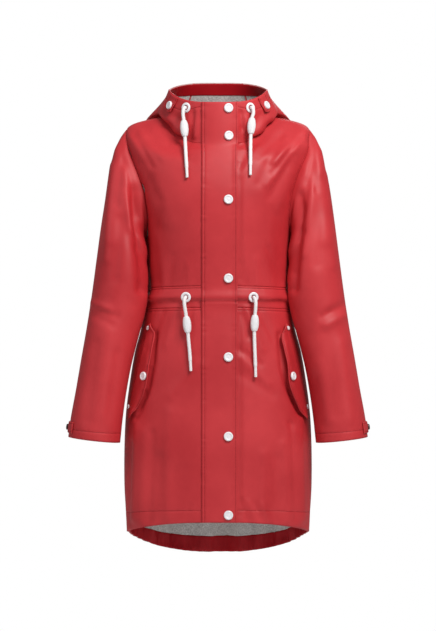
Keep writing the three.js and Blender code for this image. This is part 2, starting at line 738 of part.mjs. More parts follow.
function flapPoint(side, u, v, out = 0) {
  const rootX = FLAP_ROOT_TOP.x + (FLAP_ROOT_BOTTOM.x - FLAP_ROOT_TOP.x) * u;
  const rootZ = FLAP_ROOT_TOP.z + (FLAP_ROOT_BOTTOM.z - FLAP_ROOT_TOP.z) * u;
  const z = rootZ - FLAP_TAIL * u * v;
  const place = placeAtHeight(side * rootX, z);
  const root = angleAt(side * rootX, place);
  const near = coatPoint(root, place);
  const perRadian = near.distanceTo(coatPoint(root - 0.05, place)) / 0.05;
  const angle = root - (side * flapWidth(u) * v) / perRadian;
  const lift = FLAP_LIFT * v ** 1.5 * Math.sin(Math.PI * Math.min(Math.max(u, 0.08), 0.92)) ** 0.5;
  return coatPoint(angle, place, out + lift);
}

function flap(side) {
  const at = (out) => (u, v) => flapPoint(side, u, v, out);
  return closedWall(FLAP_WIDTHS.length - 1, 4, false, at(FLAP_LAID + CLOTH), at(FLAP_LAID));
}

// Snaps, rivets and eyelets, turned on a lathe and set on the cloth

function setOn(geometry, at, normal) {
  const turn = new THREE.Quaternion().setFromUnitVectors(new THREE.Vector3(0, 1, 0), normal);
  return geometry.applyQuaternion(turn).translate(at.x, at.y, at.z);
}

function capShape({ radius, height, dimple, rim }) {
  return new THREE.LatheGeometry([
    new THREE.Vector2(0, 0),
    new THREE.Vector2(radius, 0),
    new THREE.Vector2(radius, height * 0.35),
    new THREE.Vector2(rim, height),
    new THREE.Vector2(dimple, height * 0.72),
    new THREE.Vector2(0, height * 0.72),
  ], HARD_SIDES);
}

function eyeletShape() {
  const { outer, hole, height } = EYELET;
  return new THREE.LatheGeometry([
    new THREE.Vector2(hole, 0),
    new THREE.Vector2(outer, 0),
    new THREE.Vector2(outer * 0.94, height * 0.55),
    new THREE.Vector2((outer + hole) / 2, height),
    new THREE.Vector2(hole, height * 0.6),
    new THREE.Vector2(hole, 0),
  ], HARD_SIDES);
}

// A point on a surface moved out, and the direction in which it faces.
function seat(surface, u, v, out) {
  const small = 0.01;
  const at = surface(u, v, out);
  const across = surface(u + small, v, out).sub(surface(u - small, v, out));
  const down = surface(u, v + small, out).sub(surface(u, v - small, out));
  const normal = across.cross(down).normalize();
  const facing = surface(u, v, out + 1).sub(at);
  return { at, normal: normal.dot(facing) < 0 ? normal.negate() : normal };
}

function putCap(name, spec, { at, normal }, colour = COLOURS.white) {
  add(name, setOn(capShape(spec), at, normal), colour, 0.3);
}

const HARD_GAP = 0.45;        // gap under a hard piece, which is flat on curved cloth
PLACKET_SNAPS_Z.forEach((z, i) => {
  const place = placeAtHeight(PLACKET_SNAP_X, z);
  const angle = angleAt(PLACKET_SNAP_X, place);
  putCap(`placket_snap_${i + 1}`, SNAP, seat(coatPoint, angle, place, PLACKET_OUT + HARD_GAP));
});

for (const [name, side] of [['left', -1], ['right', 1]]) {
  const onSleeve = (t, place, out) => sleevePoint(side, t, place, out);
  const onFlap = (u, v, out) => flapPoint(side, u, v, out);
  add(`cuff_tab_${name}`, cuffTab(side), COLOURS.coat);
  const cuffSeat = seat(onSleeve, -0.01, (CUFF_TAB.top + CUFF_TAB.bottom) / 2, CUFF_TAB_OUT + HARD_GAP);
  putCap(`cuff_snap_${name}`, CUFF_SNAP, cuffSeat, COLOURS.dark);

  add(`hood_tab_${name}`, hoodTab(side), COLOURS.coat);
  const tabUp = upAfter(TAB_ANGLE, TAB_LENGTH - TAB_POINT - 9);
  const tabSeat = seat(onHood, side * TAB_ANGLE, tabUp, LAID + CLOTH + HARD_GAP);
  putCap(`hood_tab_snap_${name}`, SMALL_SNAP, tabSeat);

  add(`pocket_flap_${name}`, flap(side), COLOURS.coat);
  const flapSeat = seat(onFlap, FLAP_SNAP.u, FLAP_SNAP.v, FLAP_LAID + CLOTH + HARD_GAP);
  putCap(`flap_snap_${name}`, SMALL_SNAP, flapSeat);
  for (const [end, at] of Object.entries(FLAP_RIVETS)) {
    const rivetSeat = seat(onFlap, at.u, at.v, FLAP_LAID + CLOTH + HARD_GAP);
    putCap(`flap_rivet_${end}_${name}`, RIVET, rivetSeat);
  }
}

// The drawcords

function toPoint([x, y, z]) {
  return new THREE.Vector3(x, y, z);
}

function cordTube(route) {
  const section = new THREE.Shape();
  for (let i = 0; i < CORD_SIDES; i += 1) {
    const turn = (2 * Math.PI * i) / CORD_SIDES;
    const corner = [CORD_RADIUS * Math.cos(turn), CORD_RADIUS * Math.sin(turn)];
    if (i === 0) {
      section.moveTo(...corner);
    } else {
      section.lineTo(...corner);
    }
  }
  const path = new THREE.CatmullRomCurve3(route.map(toPoint));
  return new THREE.ExtrudeGeometry(section, { steps: CORD_STEPS, extrudePath: path });
}

// An oval bead with a round bore, between two points of the cord that it holds.
function stopperBead(from, to) {
  const axis = to.clone().sub(from);
  const length = axis.length();
  axis.normalize();
  const wide = new THREE.Vector3(1, 0, 0).addScaledVector(axis, -axis.x).normalize();
  const deep = axis.clone().cross(wide);
  const at = (reach) => (u, v) => {
    const turn = 2 * Math.PI * u;
    const [w, d] = reach(v);
    return from.clone().addScaledVector(axis, length * v)
      .addScaledVector(wide, w * Math.cos(turn))
      .addScaledVector(deep, d * Math.sin(turn));
  };
  const swell = (v) => Math.sin(Math.PI * v) ** 0.6;
  const lip = STOPPER.bore + 1;
  const skin = (v) => [
    lip + (STOPPER.width - lip) * swell(v),
    lip + (STOPPER.depth - lip) * swell(v),
  ];
  const bore = () => [STOPPER.bore, STOPPER.bore];
  return closedWall(STOPPER.steps, STOPPER.rows, true, at(skin), at(bore));
}

for (const [name, cord] of Object.entries(DRAWCORDS)) {
  const [part, side] = name.split('_');
  const [from, to] = cord.stopper.map((i) => toPoint(cord.route[i]));
  add(`drawcord_${name}`, cordTube(cord.route), COLOURS.white, 0.8);
  add(`stopper_${name}`, stopperBead(from, to), COLOURS.white, 0.35);
  const ring = part === 'hood'
    ? seat(onHood, HOOD_EYELET[side], HOOD_EYELET.up, HARD_GAP)
    : seat(coatPoint, angleAt(WAIST_EYELET[side], WAIST_EYELET.place), WAIST_EYELET.place, HARD_GAP);
  add(`eyelet_${name}`, setOn(eyeletShape(), ring.at, ring.normal), COLOURS.white, 0.3);
}

export default coat;
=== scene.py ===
import math
from functools import partial

import bmesh
import bpy
import numpy as np
from mathutils import Matrix, Vector


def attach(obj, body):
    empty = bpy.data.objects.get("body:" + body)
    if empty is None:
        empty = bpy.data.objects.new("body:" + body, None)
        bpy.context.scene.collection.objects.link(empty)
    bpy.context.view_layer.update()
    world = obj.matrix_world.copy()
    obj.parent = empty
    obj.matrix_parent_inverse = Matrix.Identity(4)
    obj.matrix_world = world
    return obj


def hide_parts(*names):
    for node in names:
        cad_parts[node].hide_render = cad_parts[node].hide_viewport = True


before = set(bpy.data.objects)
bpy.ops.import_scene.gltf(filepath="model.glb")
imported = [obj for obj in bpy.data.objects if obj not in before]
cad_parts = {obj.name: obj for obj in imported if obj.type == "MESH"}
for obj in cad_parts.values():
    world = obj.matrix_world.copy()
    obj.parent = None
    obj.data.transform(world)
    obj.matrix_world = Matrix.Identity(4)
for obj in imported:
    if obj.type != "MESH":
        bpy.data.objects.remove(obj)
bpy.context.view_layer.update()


# The camera and the room
# The coat is seen level from four metres in front of its middle, on a pale floor under soft light.
# The light is strongest from the viewer's right, and the room behind the coat is plain white.
VIEW_DISTANCE = 4.0
VIEW_MIDDLE = Vector((0.0, 0.0, -0.403))
VIEW_HEIGHT = 1.2936            # what the photograph's height covers at the coat's middle
FILM_WIDTH = 36                 # in millimetres
FLOOR_LEVEL = -1.42
FLOOR_REACH = 2.2
ROOM_LIGHT = 0.24               # how brightly the walls light the coat

camera_data = bpy.data.cameras.new("studio_camera")
camera_data.sensor_width = FILM_WIDTH
camera_data.lens = FILM_WIDTH * VIEW_DISTANCE / VIEW_HEIGHT
camera = bpy.data.objects.new("studio_camera", camera_data)
camera.location = VIEW_MIDDLE - Vector((0, VIEW_DISTANCE, 0))
camera.rotation_euler = (math.pi / 2, 0, 0)
bpy.context.scene.collection.objects.link(camera)
bpy.context.scene.camera = camera
bpy.context.scene.view_settings.view_transform = "Standard"


def colour(red, green, blue):
    """A colour as it is read on a screen, from 0 to 255, as the linear one that a shader takes."""
    shares = (value / 255 for value in (red, green, blue))
    return (*(s / 12.92 if s < 0.04045 else ((s + 0.055) / 1.055) ** 2.4 for s in shares), 1.0)


def new_node(tree, kind, inputs=(), **settings):
    """A shader node with its settings, whose inputs are values or other nodes' outputs."""
    node = tree.nodes.new(kind)
    for name, value in settings.items():
        setattr(node, name, value)
    for name, value in dict(inputs).items():
        if isinstance(value, bpy.types.NodeSocket):
            tree.links.new(value, node.inputs[name])
        else:
            node.inputs[name].default_value = value
    return node


def new_material(name, roughness, **values):
    material = bpy.data.materials.new(name)
    material.use_nodes = True
    shader = material.node_tree.nodes["Principled BSDF"]
    shader.inputs["Roughness"].default_value = roughness
    for socket, value in values.items():
        shader.inputs[socket.replace("_", " ")].default_value = value
    return material, material.node_tree, shader


def blend_colours(tree, share, first, second):
    """A colour between two, by a share that another node gives."""
    mix = new_node(tree, "ShaderNodeMix", data_type="RGBA")
    for socket, value in ((mix.inputs[0], share), (mix.inputs[6], first), (mix.inputs[7], second)):
        if isinstance(value, bpy.types.NodeSocket):
            tree.links.new(value, socket)
        else:
            socket.default_value = value
    return mix.outputs[2]


def share_between(tree, value, low, high, to_low=0.0, to_high=1.0):
    """A value from low to high, spread over another range."""
    return new_node(tree, "ShaderNodeMapRange", {
        "Value": value, "From Min": low, "From Max": high, "To Min": to_low, "To Max": to_high,
    }).outputs["Result"]


def add_bump(tree, shader, height, distance, before=None):
    """Relief on a surface: distance is what a height of one stands out by, in metres."""
    inputs = {"Height": height, "Distance": distance, "Strength": 1.0}
    if before is not None:
        inputs["Normal"] = before
    bump = new_node(tree, "ShaderNodeBump", inputs)
    tree.links.new(bump.outputs["Normal"], shader.inputs["Normal"])
    return bump.outputs["Normal"]


def object_place(tree):
    return new_node(tree, "ShaderNodeTexCoord").outputs["Object"]


def noise(tree, place, scale, detail, **more):
    """A cloudy share from 0 to 1, finer where the scale is larger."""
    inputs = {"Vector": place, "Scale": scale, "Detail": detail, **more}
    return new_node(tree, "ShaderNodeTexNoise", inputs).outputs["Fac"]


def mottled(name, roughness, grain, dark, light, relief=0.0, **values):
    """A material whose colour clouds between two. grain is the clouds' scale and detail."""
    material, tree, shader = new_material(name, roughness, **values)
    cloud = noise(tree, object_place(tree), *grain)
    paint = blend_colours(tree, cloud, colour(*dark), colour(*light))
    tree.links.new(paint, shader.inputs["Base Color"])
    if relief:
        add_bump(tree, shader, cloud, relief)
    return material


def studio_floor():
    made = bmesh.new()
    bmesh.ops.create_circle(made, cap_ends=True, segments=96, radius=FLOOR_REACH)
    bmesh.ops.translate(made, verts=made.verts, vec=(0, 0, FLOOR_LEVEL))
    mesh = bpy.data.meshes.new("studio_floor")
    made.to_mesh(mesh)
    made.free()
    floor = bpy.data.objects.new("studio_floor", mesh)
    bpy.context.scene.collection.objects.link(floor)
    mesh.materials.append(mottled("floor_paint", 0.9, (3.0, 3.0), (236, 236, 236), (244, 244, 244)))


def studio_light(name, place, size, watts, warmth):
    data = bpy.data.lights.new(name, "AREA")
    data.shape = "DISK"
    data.size = size
    data.energy = watts
    data.color = warmth
    light = bpy.data.objects.new(name, data)
    light.location = place
    light.rotation_euler = (VIEW_MIDDLE - Vector(place)).to_track_quat("-Z", "Y").to_euler()
    bpy.context.scene.collection.objects.link(light)


def studio_room():
    """A white room: what the camera sees is pure white, and what lights the coat is softer."""
    world = bpy.data.worlds.new("studio_room")
    bpy.context.scene.world = world
    world.use_nodes = True
    tree = world.node_tree
    seen = new_node(tree, "ShaderNodeLightPath").outputs["Is Camera Ray"]
    walls = tree.nodes["Background"]
    walls.inputs["Color"].default_value = (1, 1, 1, 1)
    tree.links.new(share_between(tree, seen, 0, 1, ROOM_LIGHT, 1.0), walls.inputs["Strength"])


studio_floor()
studio_room()
studio_light("key_light", (1.0, -1.8, 1.5), 1.2, 68, (1, 0.99, 0.97))
studio_light("fill_light", (-2.3, -2.1, 1.3), 1.5, 18, (0.98, 0.99, 1))
studio_light("back_light", (0.4, 2.6, 1.2), 1.6, 20, (1, 1, 1))


# The drawcords
# Two limp braided cotton cords, 7 mm thick, run in channels at the neck and the waist. Their free
# ends hang from white eyelets, each through an oval plastic bead, with the tip pressed and bare.
CORD_THICKNESS = 0.007
CORD_STRANDS = 8
CORD_TURNS_PER_METRE = 42
CORD_RELIEF = 0.00022
CORD_STEPS = 170
CORD_SIDES = 32
CORD_END = 0.0012               # how long the rounding of each end is
CORD_TIP = 0.022                # how long the pressed tip is
CORD_TIP_SHARE = 0.82           # how thick it is against the rest
CORD_TIP_EDGE = 0.92            # where on the tip it starts to thicken
CORD_ROUTES = {
    "hood_left": [
        [-0.06495, -0.07895, 0.0145], [-0.0671, -0.0826, 0.014], [-0.0691, -0.086, 0.0106],
        [-0.07, -0.0876, 0.005], [-0.0698, -0.0882, -0.003], [-0.0686, -0.0888, -0.012],
        [-0.0662, -0.0918, -0.044], [-0.0658, -0.0942, -0.052], [-0.0654, -0.098, -0.06],
        [-0.0648, -0.1026, -0.07], [-0.0642, -0.1076, -0.08], [-0.0636, -0.1118, -0.09],
        [-0.0628, -0.1152, -0.101], [-0.0622, -0.1178, -0.113], [-0.0616, -0.1198, -0.123],
        [-0.0613, -0.1206, -0.129],
    ],
    "hood_right": [
        [0.06595, -0.07835, 0.0145], [0.0681, -0.0821, 0.014], [0.0701, -0.0855, 0.0108],
        [0.0709, -0.0872, 0.006], [0.0703, -0.088, -0.0005], [0.0684, -0.0886, -0.007],
        [0.0658, -0.0914, -0.039], [0.0654, -0.0936, -0.048], [0.0652, -0.0972, -0.057],
        [0.065, -0.1018, -0.068], [0.0649, -0.107, -0.079], [0.0648, -0.1116, -0.09],
        [0.0647, -0.1152, -0.102], [0.0646, -0.1177, -0.113], [0.0645, -0.119, -0.12],
        [0.0645, -0.1195, -0.124],
    ],
    "waist_left": [
        [-0.0641, -0.1012, -0.3654], [-0.066, -0.1069, -0.369], [-0.067, -0.1099, -0.3734],
        [-0.067, -0.1113, -0.3794], [-0.0663, -0.1115, -0.386], [-0.0648, -0.111, -0.395],
        [-0.0634, -0.1108, -0.405], [-0.06, -0.1114, -0.437], [-0.0592, -0.1117, -0.447],
        [-0.0582, -0.1123, -0.458], [-0.057, -0.1132, -0.47], [-0.0559, -0.1143, -0.483],
        [-0.055, -0.1153, -0.496], [-0.0544, -0.116, -0.506], [-0.054, -0.1165, -0.514],
    ],
    "waist_right": [
        [0.0714, -0.0986, -0.366], [0.0739, -0.1042, -0.3696], [0.0751, -0.1071, -0.374],
        [0.0754, -0.1085, -0.3804], [0.075, -0.1086, -0.388], [0.0745, -0.1082, -0.395],
        [0.0739, -0.1078, -0.402], [0.0726, -0.1084, -0.434], [0.0726, -0.1088, -0.445],
        [0.0729, -0.1094, -0.458], [0.0734, -0.1102, -0.472], [0.074, -0.111, -0.487],
        [0.0745, -0.1118, -0.501], [0.0749, -0.1124, -0.514], [0.0751, -0.1129, -0.526],
    ],
}
STOPPER_SEAT = {"hood_left": 5, "hood_right": 5, "waist_left": 6, "waist_right": 6}
STOPPER_WIDTH = 0.0084
STOPPER_DEPTH = 0.0064
STOPPER_LIP = 0.0048
STOPPER_WALL = 0.0011
STOPPER_SWELL = 0.62


def between(rows, place):
    """Rows of a table at places between them, on a smooth curve through the rows."""
    last = len(rows) - 1
    index = np.clip(np.floor(place), 0, last - 1).astype(int)
    t = (place - index)[..., None]
    a, b, c, d = (rows[np.clip(index + k, 0, last)] for k in (-1, 0, 1, 2))
    slope_b, slope_c = (c - a) / 2, (d - b) / 2
    cubic = 2 * (b - c) + slope_b + slope_c
    return b + slope_b * t + (3 * (c - b) - 2 * slope_b - slope_c) * t ** 2 + cubic * t ** 3


def unit(vectors):
    return vectors / np.linalg.norm(vectors, axis=-1, keepdims=True)


def bend_grid(columns, rows, surface, closed=False):
    """A flat grid, bent onto a surface. Its UV map holds each point's place on the grid.

    columns and rows are the places of its lines, from 0 to 1, and surface gives points for them.
    The normals come out on the side where surface(u, v, out) goes for a larger out.
    """
    made = bmesh.new()
    wide, long = len(columns) - 1, len(rows) - 1
    layer = made.loops.layers.uv.new("cut")
    bmesh.ops.create_grid(made, x_segments=wide, y_segments=long, size=0.5)
    spots = np.array([v.co for v in made.verts])
    i = np.rint((spots[:, 0] + 0.5) * wide).astype(int)
    j = np.rint((spots[:, 1] + 0.5) * long).astype(int)
    u, v = np.asarray(columns)[i], np.asarray(rows)[j]
    for face in made.faces:
        for loop in face.loops:
            loop[layer].uv = (u[loop.vert.index], v[loop.vert.index])
    points = surface(u, v, 0.0)
    lifted = surface(u, v, 0.0005)
    for vert, point in zip(made.verts, points):
        vert.co = point
    made.normal_update()
    out = np.array([v.normal for v in made.verts])
    if ((lifted - points) * out).sum() < 0:
        bmesh.ops.reverse_faces(made, faces=made.faces)
    if closed:
        bmesh.ops.remove_doubles(made, verts=made.verts, dist=0.00002)
    return made


def round_about(middle, across, deep, turn, wide, high):
    """Points at a turn round middle, which stand wide off along across and high along deep."""
    return middle + across * (wide * np.cos(turn))[:, None] + deep * (high * np.sin(turn))[:, None]


def run_along(points):
    """How far each point of a line is from the first, along the line."""
    return np.concatenate([[0], np.cumsum(np.linalg.norm(np.diff(points, axis=0), axis=1))])


def finish_piece(made, name, materials):
    """Makes an object of a bmesh, with its materials, which rides on the coat."""
    mesh = bpy.data.meshes.new(name)
    made.to_mesh(mesh)
    made.free()
    for material in materials:
        mesh.materials.append(material)
    mesh.shade_smooth()
    piece = bpy.data.objects.new(name, mesh)
    bpy.context.scene.collection.objects.link(piece)
    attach(piece, "root")
    return piece


def smooth_route(points, steps):
    """A smooth line through points, with its places spread by their distance."""
    points = np.array(points)
    run = run_along(points)
    places = np.interp(np.linspace(0, run[-1], steps + 1), run, np.arange(len(points)))
    return between(points, places), run[-1]


def cord_frames(line):
    """Two directions across a line, which don't twist along it."""
    along = unit(np.gradient(line, axis=0))
    side = unit(np.cross(along, (0.0, 1.0, 0.0)))
    return side, np.cross(along, side)


def hanging_cord(name):
    line, length = smooth_route(CORD_ROUTES[name], CORD_STEPS)
    side, depth = cord_frames(line)

    def surface(u, v, out):
        turn = 2 * math.pi * u
        run = v * length
        twist = 2 * math.pi * CORD_TURNS_PER_METRE * run
        plait = np.abs(np.sin(CORD_STRANDS * turn / 2 + twist) * np.sin(CORD_STRANDS * turn / 2 - twist))
        from_tip = np.clip((length - run) / CORD_TIP, 0, 1)
        tip = np.clip((from_tip - CORD_TIP_EDGE) / (1 - CORD_TIP_EDGE), 0, 1)
        radius = CORD_THICKNESS / 2 * (CORD_TIP_SHARE + (1 - CORD_TIP_SHARE) * tip)
        radius = radius + CORD_RELIEF * (plait - 0.5) * (0.3 + 0.7 * tip)
        ends = np.minimum(np.minimum(v, 1 - v) * length / CORD_END, 1)
        radius = radius * np.sqrt(np.clip(1 - (1 - ends) ** 2, 0.02, 1)) + out
        middle, across, deep = (between(grid, v * CORD_STEPS) for grid in (line, side, depth))
        return round_about(middle, across, deep, turn, radius, radius)

    columns, rows = np.linspace(0, 1, CORD_SIDES + 1), np.linspace(0, 1, CORD_STEPS + 1)
    made = bend_grid(columns, rows, surface, closed=True)
    bmesh.ops.holes_fill(made, edges=[e for e in made.edges if e.is_boundary], sides=40)
    piece = finish_piece(made, f"cord_{name}", [cord_cotton])
    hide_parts(f"drawcord_{name}")
    return piece, line, length


def cord_bead(name):
    """An oval bead with a soft waist at each end, threaded on the cord."""
    seat = STOPPER_SEAT[name]
    start, end = (np.array(CORD_ROUTES[name][seat + k]) for k in (0, 1))
    axis = unit(end - start)
    wide = unit(np.array([1.0, 0.0, 0.0]) - axis * axis[0])
    deep = np.cross(axis, wide)
    length = float(np.linalg.norm(end - start))

    def surface(u, v, out):
        turn = 2 * math.pi * u
        swell = np.sin(math.pi * np.clip(v, 0, 1)) ** STOPPER_SWELL
        reach = [STOPPER_LIP + (most - STOPPER_LIP) * swell + out for most in (STOPPER_WIDTH, STOPPER_DEPTH)]
        return round_about(start + axis * (v * length)[:, None], wide, deep, turn, *reach)

    rows = (1 - np.cos(np.linspace(0, math.pi, 29))) / 2
    made = bend_grid(np.linspace(0, 1, 37), rows, surface, closed=True)
    piece = finish_piece(made, f"bead_{name}", [bead_plastic])
    wall = piece.modifiers.new("wall", "SOLIDIFY")
    wall.thickness = STOPPER_WALL
    wall.offset = -1
    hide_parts(f"stopper_{name}")
    return piece


cord_cotton = mottled("braided_cord", 0.75, (900.0, 3.0), (222, 220, 222), (250, 249, 250), 0.00025,
                      Specular_IOR_Level=0.3)
bead_plastic = mottled("moulded_bead", 0.32, (160.0, 2.0), (228, 227, 231), (246, 246, 248), 0.0001)

for cord_name, route in CORD_ROUTES.items():
    bead = cord_bead(cord_name)
    strand, middle_line, strand_length = hanging_cord(cord_name)


# The bodice
# Two fronts and a back of coated cloth, sewn at the shoulders, sides and armholes. The coat is
# filled out as it is worn, so the cloth stands in rings round the body and creases at the arms.
CLOTH = 0.0018
SEAM_ROLL = 0.0014              # how far the cloth dips where two pieces are sewn together
SEAM_WIDTH = 0.0022
GROOVE = 0.0009                 # half width of the groove that a row of stitches pulls in
GROOVE_SUNK = 0.0006
PUCKER_SPAN = 0.009             # how far the puckers beside a row of stitches reach
PUCKER_RISE = 0.00035
PUCKER_LENGTH = 0.017
STITCH = 0.0034
THREAD = 0.00034                # radius of the sewing thread
CLOTH_CELL = 0.0042
CUT_CELLS = 40                  # cells along and across, for measuring what a piece was cut to
LEAST_COVER = 0.31              # of its flat box that a cut piece is said to cover
SIDE_SEAM = math.pi / 2
RING_TILT = 1.6
NECK, SHOULDER_POINT, UNDERARM, BAND_TOP, BAND_BOTTOM, HEM = 2, 4, 9, 11, 14, 22
ARMHOLE_FRONT = math.radians(29)
ARMHOLE_BACK = math.radians(22)
FRONT_MEETING = -0.005
# Columns: height at the front, side and back, half width, middle in depth, depths in front of and
# behind it, how square the ring is, and how far round the front stays low.
RINGS = np.array([
    [0.024, 0.06, 0.083, 0.101, -0.006, 0.09, 0.082, 2.1, 1.5],
    [-0.018, 0.03, 0.045, 0.09, -0.006, 0.092, 0.076, 2.1, 2],
    [-0.057, 0.006, 0.016, 0.082, -0.006, 0.093, 0.07, 2.1, 2.6],
    [-0.074, 0, -0.004, 0.138, 0.002, 0.106, 0.086, 2.15, 1.9],
    [-0.097, -0.02, -0.033, 0.187, 0.006, 0.118, 0.093, 2.2, 1.3],
    [-0.13, -0.072, -0.08, 0.186, 0.008, 0.128, 0.096, 2.2, 1],
    [-0.158, -0.114, -0.122, 0.176, 0.01, 0.134, 0.097, 2.2, 1],
    [-0.188, -0.158, -0.164, 0.165, 0.012, 0.137, 0.096, 2.2, 1],
    [-0.218, -0.204, -0.206, 0.155, 0.013, 0.136, 0.093, 2.2, 1],
    [-0.25, -0.247, -0.247, 0.15, 0.014, 0.132, 0.089, 2.2, 1],
    [-0.298, -0.298, -0.298, 0.149, 0.014, 0.125, 0.084, 2.2, 1],
    [-0.344, -0.348, -0.347, 0.15, 0.014, 0.119, 0.081, 2.2, 1],
    [-0.366, -0.369, -0.368, 0.155, 0.014, 0.122, 0.086, 2.2, 1],
    [-0.374, -0.377, -0.376, 0.149, 0.014, 0.117, 0.081, 2.2, 1],
    [-0.387, -0.391, -0.39, 0.152, 0.014, 0.118, 0.084, 2.2, 1],
    [-0.43, -0.43, -0.43, 0.158, 0.013, 0.121, 0.094, 2.2, 1],
    [-0.48, -0.48, -0.48, 0.171, 0.012, 0.124, 0.11, 2.2, 1],
    [-0.54, -0.54, -0.54, 0.181, 0.01, 0.126, 0.123, 2.2, 1],
    [-0.605, -0.605, -0.605, 0.189, 0.008, 0.128, 0.13, 2.2, 1],
    [-0.675, -0.675, -0.68, 0.192, 0.006, 0.13, 0.134, 2.2, 1],
    [-0.745, -0.748, -0.77, 0.192, 0.006, 0.133, 0.136, 2.2, 1],
    [-0.79, -0.805, -0.845, 0.189, 0.006, 0.136, 0.137, 2.2, 1.3],
    [-0.814, -0.846, -0.904, 0.187, 0.006, 0.137, 0.137, 2.2, 1.25],
])
WAIST_GATHERS = 12
WAIST_GATHER_RISE = 0.0013
WAIST_GATHER_MIDDLE = 12.6
WAIST_GATHER_SPAN = 1.3
HEM_GATHERS = 12
HEM_GATHER_RISE = 0.0015
HEM_GATHER_SPAN = 1.2           # over how many rings the gathers at the hem die away
HEM_GATHERED = (0.1, -0.5)      # cosines of the angles between which they set in
FOLD_UNITS = [1] + 6 * [1000]
# Columns: 1 for the front or -1 for the back, where the fold starts and ends across and in height,
# its half width, and how far it stands out, or sinks in where that is negative, in millimetres.
FOLDS = np.array([
    [1, 148, -15, 102, -97, 11, -2.2], [1, 100, -100, 82, -138, 10, -1.8],
    [1, 156, -24, 146, -66, 9, -1.6], [1, 138, -40, 118, -95, 9, 1.8],
    [1, -150, -20, -118, -90, 12, -1.6], [1, -120, -150, -95, -215, 14, 1.4],
    [1, 120, -190, 128, -330, 12, -2], [1, -122, -200, -126, -330, 12, -2],
    [1, -190, -86, -156, -200, 9, -3.5], [1, -178, -150, -158, -235, 8, -3],
    [1, -205, -66, -217, -250, 14, 3.5], [1, 186, -97, 170, -235, 9, -4],
    [1, 166, -235, 150, -312, 9, -4], [1, 205, -70, 214, -250, 14, 3.5],
    [1, -240, -392, -205, -405, 9, -3], [1, 243, -392, 208, -405, 9, -3],
    [1, -150, -640, -158, -815, 15, 4], [1, -118, -690, -112, -815, 16, -3.5],
    [1, 150, -640, 158, -815, 15, 4], [1, 118, -690, 112, -815, 16, -3.5],
    [1, 66, -700, 60, -815, 22, -2], [1, -78, -720, -74, -815, 22, -2],
    [-1, -90, -620, -100, -880, 22, 5], [-1, -40, -660, -44, -890, 20, -5],
    [-1, 8, -620, 4, -900, 20, 5], [-1, 50, -660, 56, -890, 20, -5],
    [-1, 98, -620, 108, -880, 22, 5], [-1, -150, -660, -156, -850, 18, -4],
    [-1, 150, -660, 156, -850, 18, -4], [-1, -60, -260, -48, -335, 16, -3],
    [-1, 12, -250, 8, -335, 16, -3], [-1, 70, -260, 60, -335, 16, -3],
    [-1, -190, -90, -150, -200, 10, -4], [-1, 190, -90, 150, -200, 10, -4],
    [-1, -238, -380, -190, -410, 10, -4], [-1, 238, -380, 190, -410, 10, -4],
]) / FOLD_UNITS
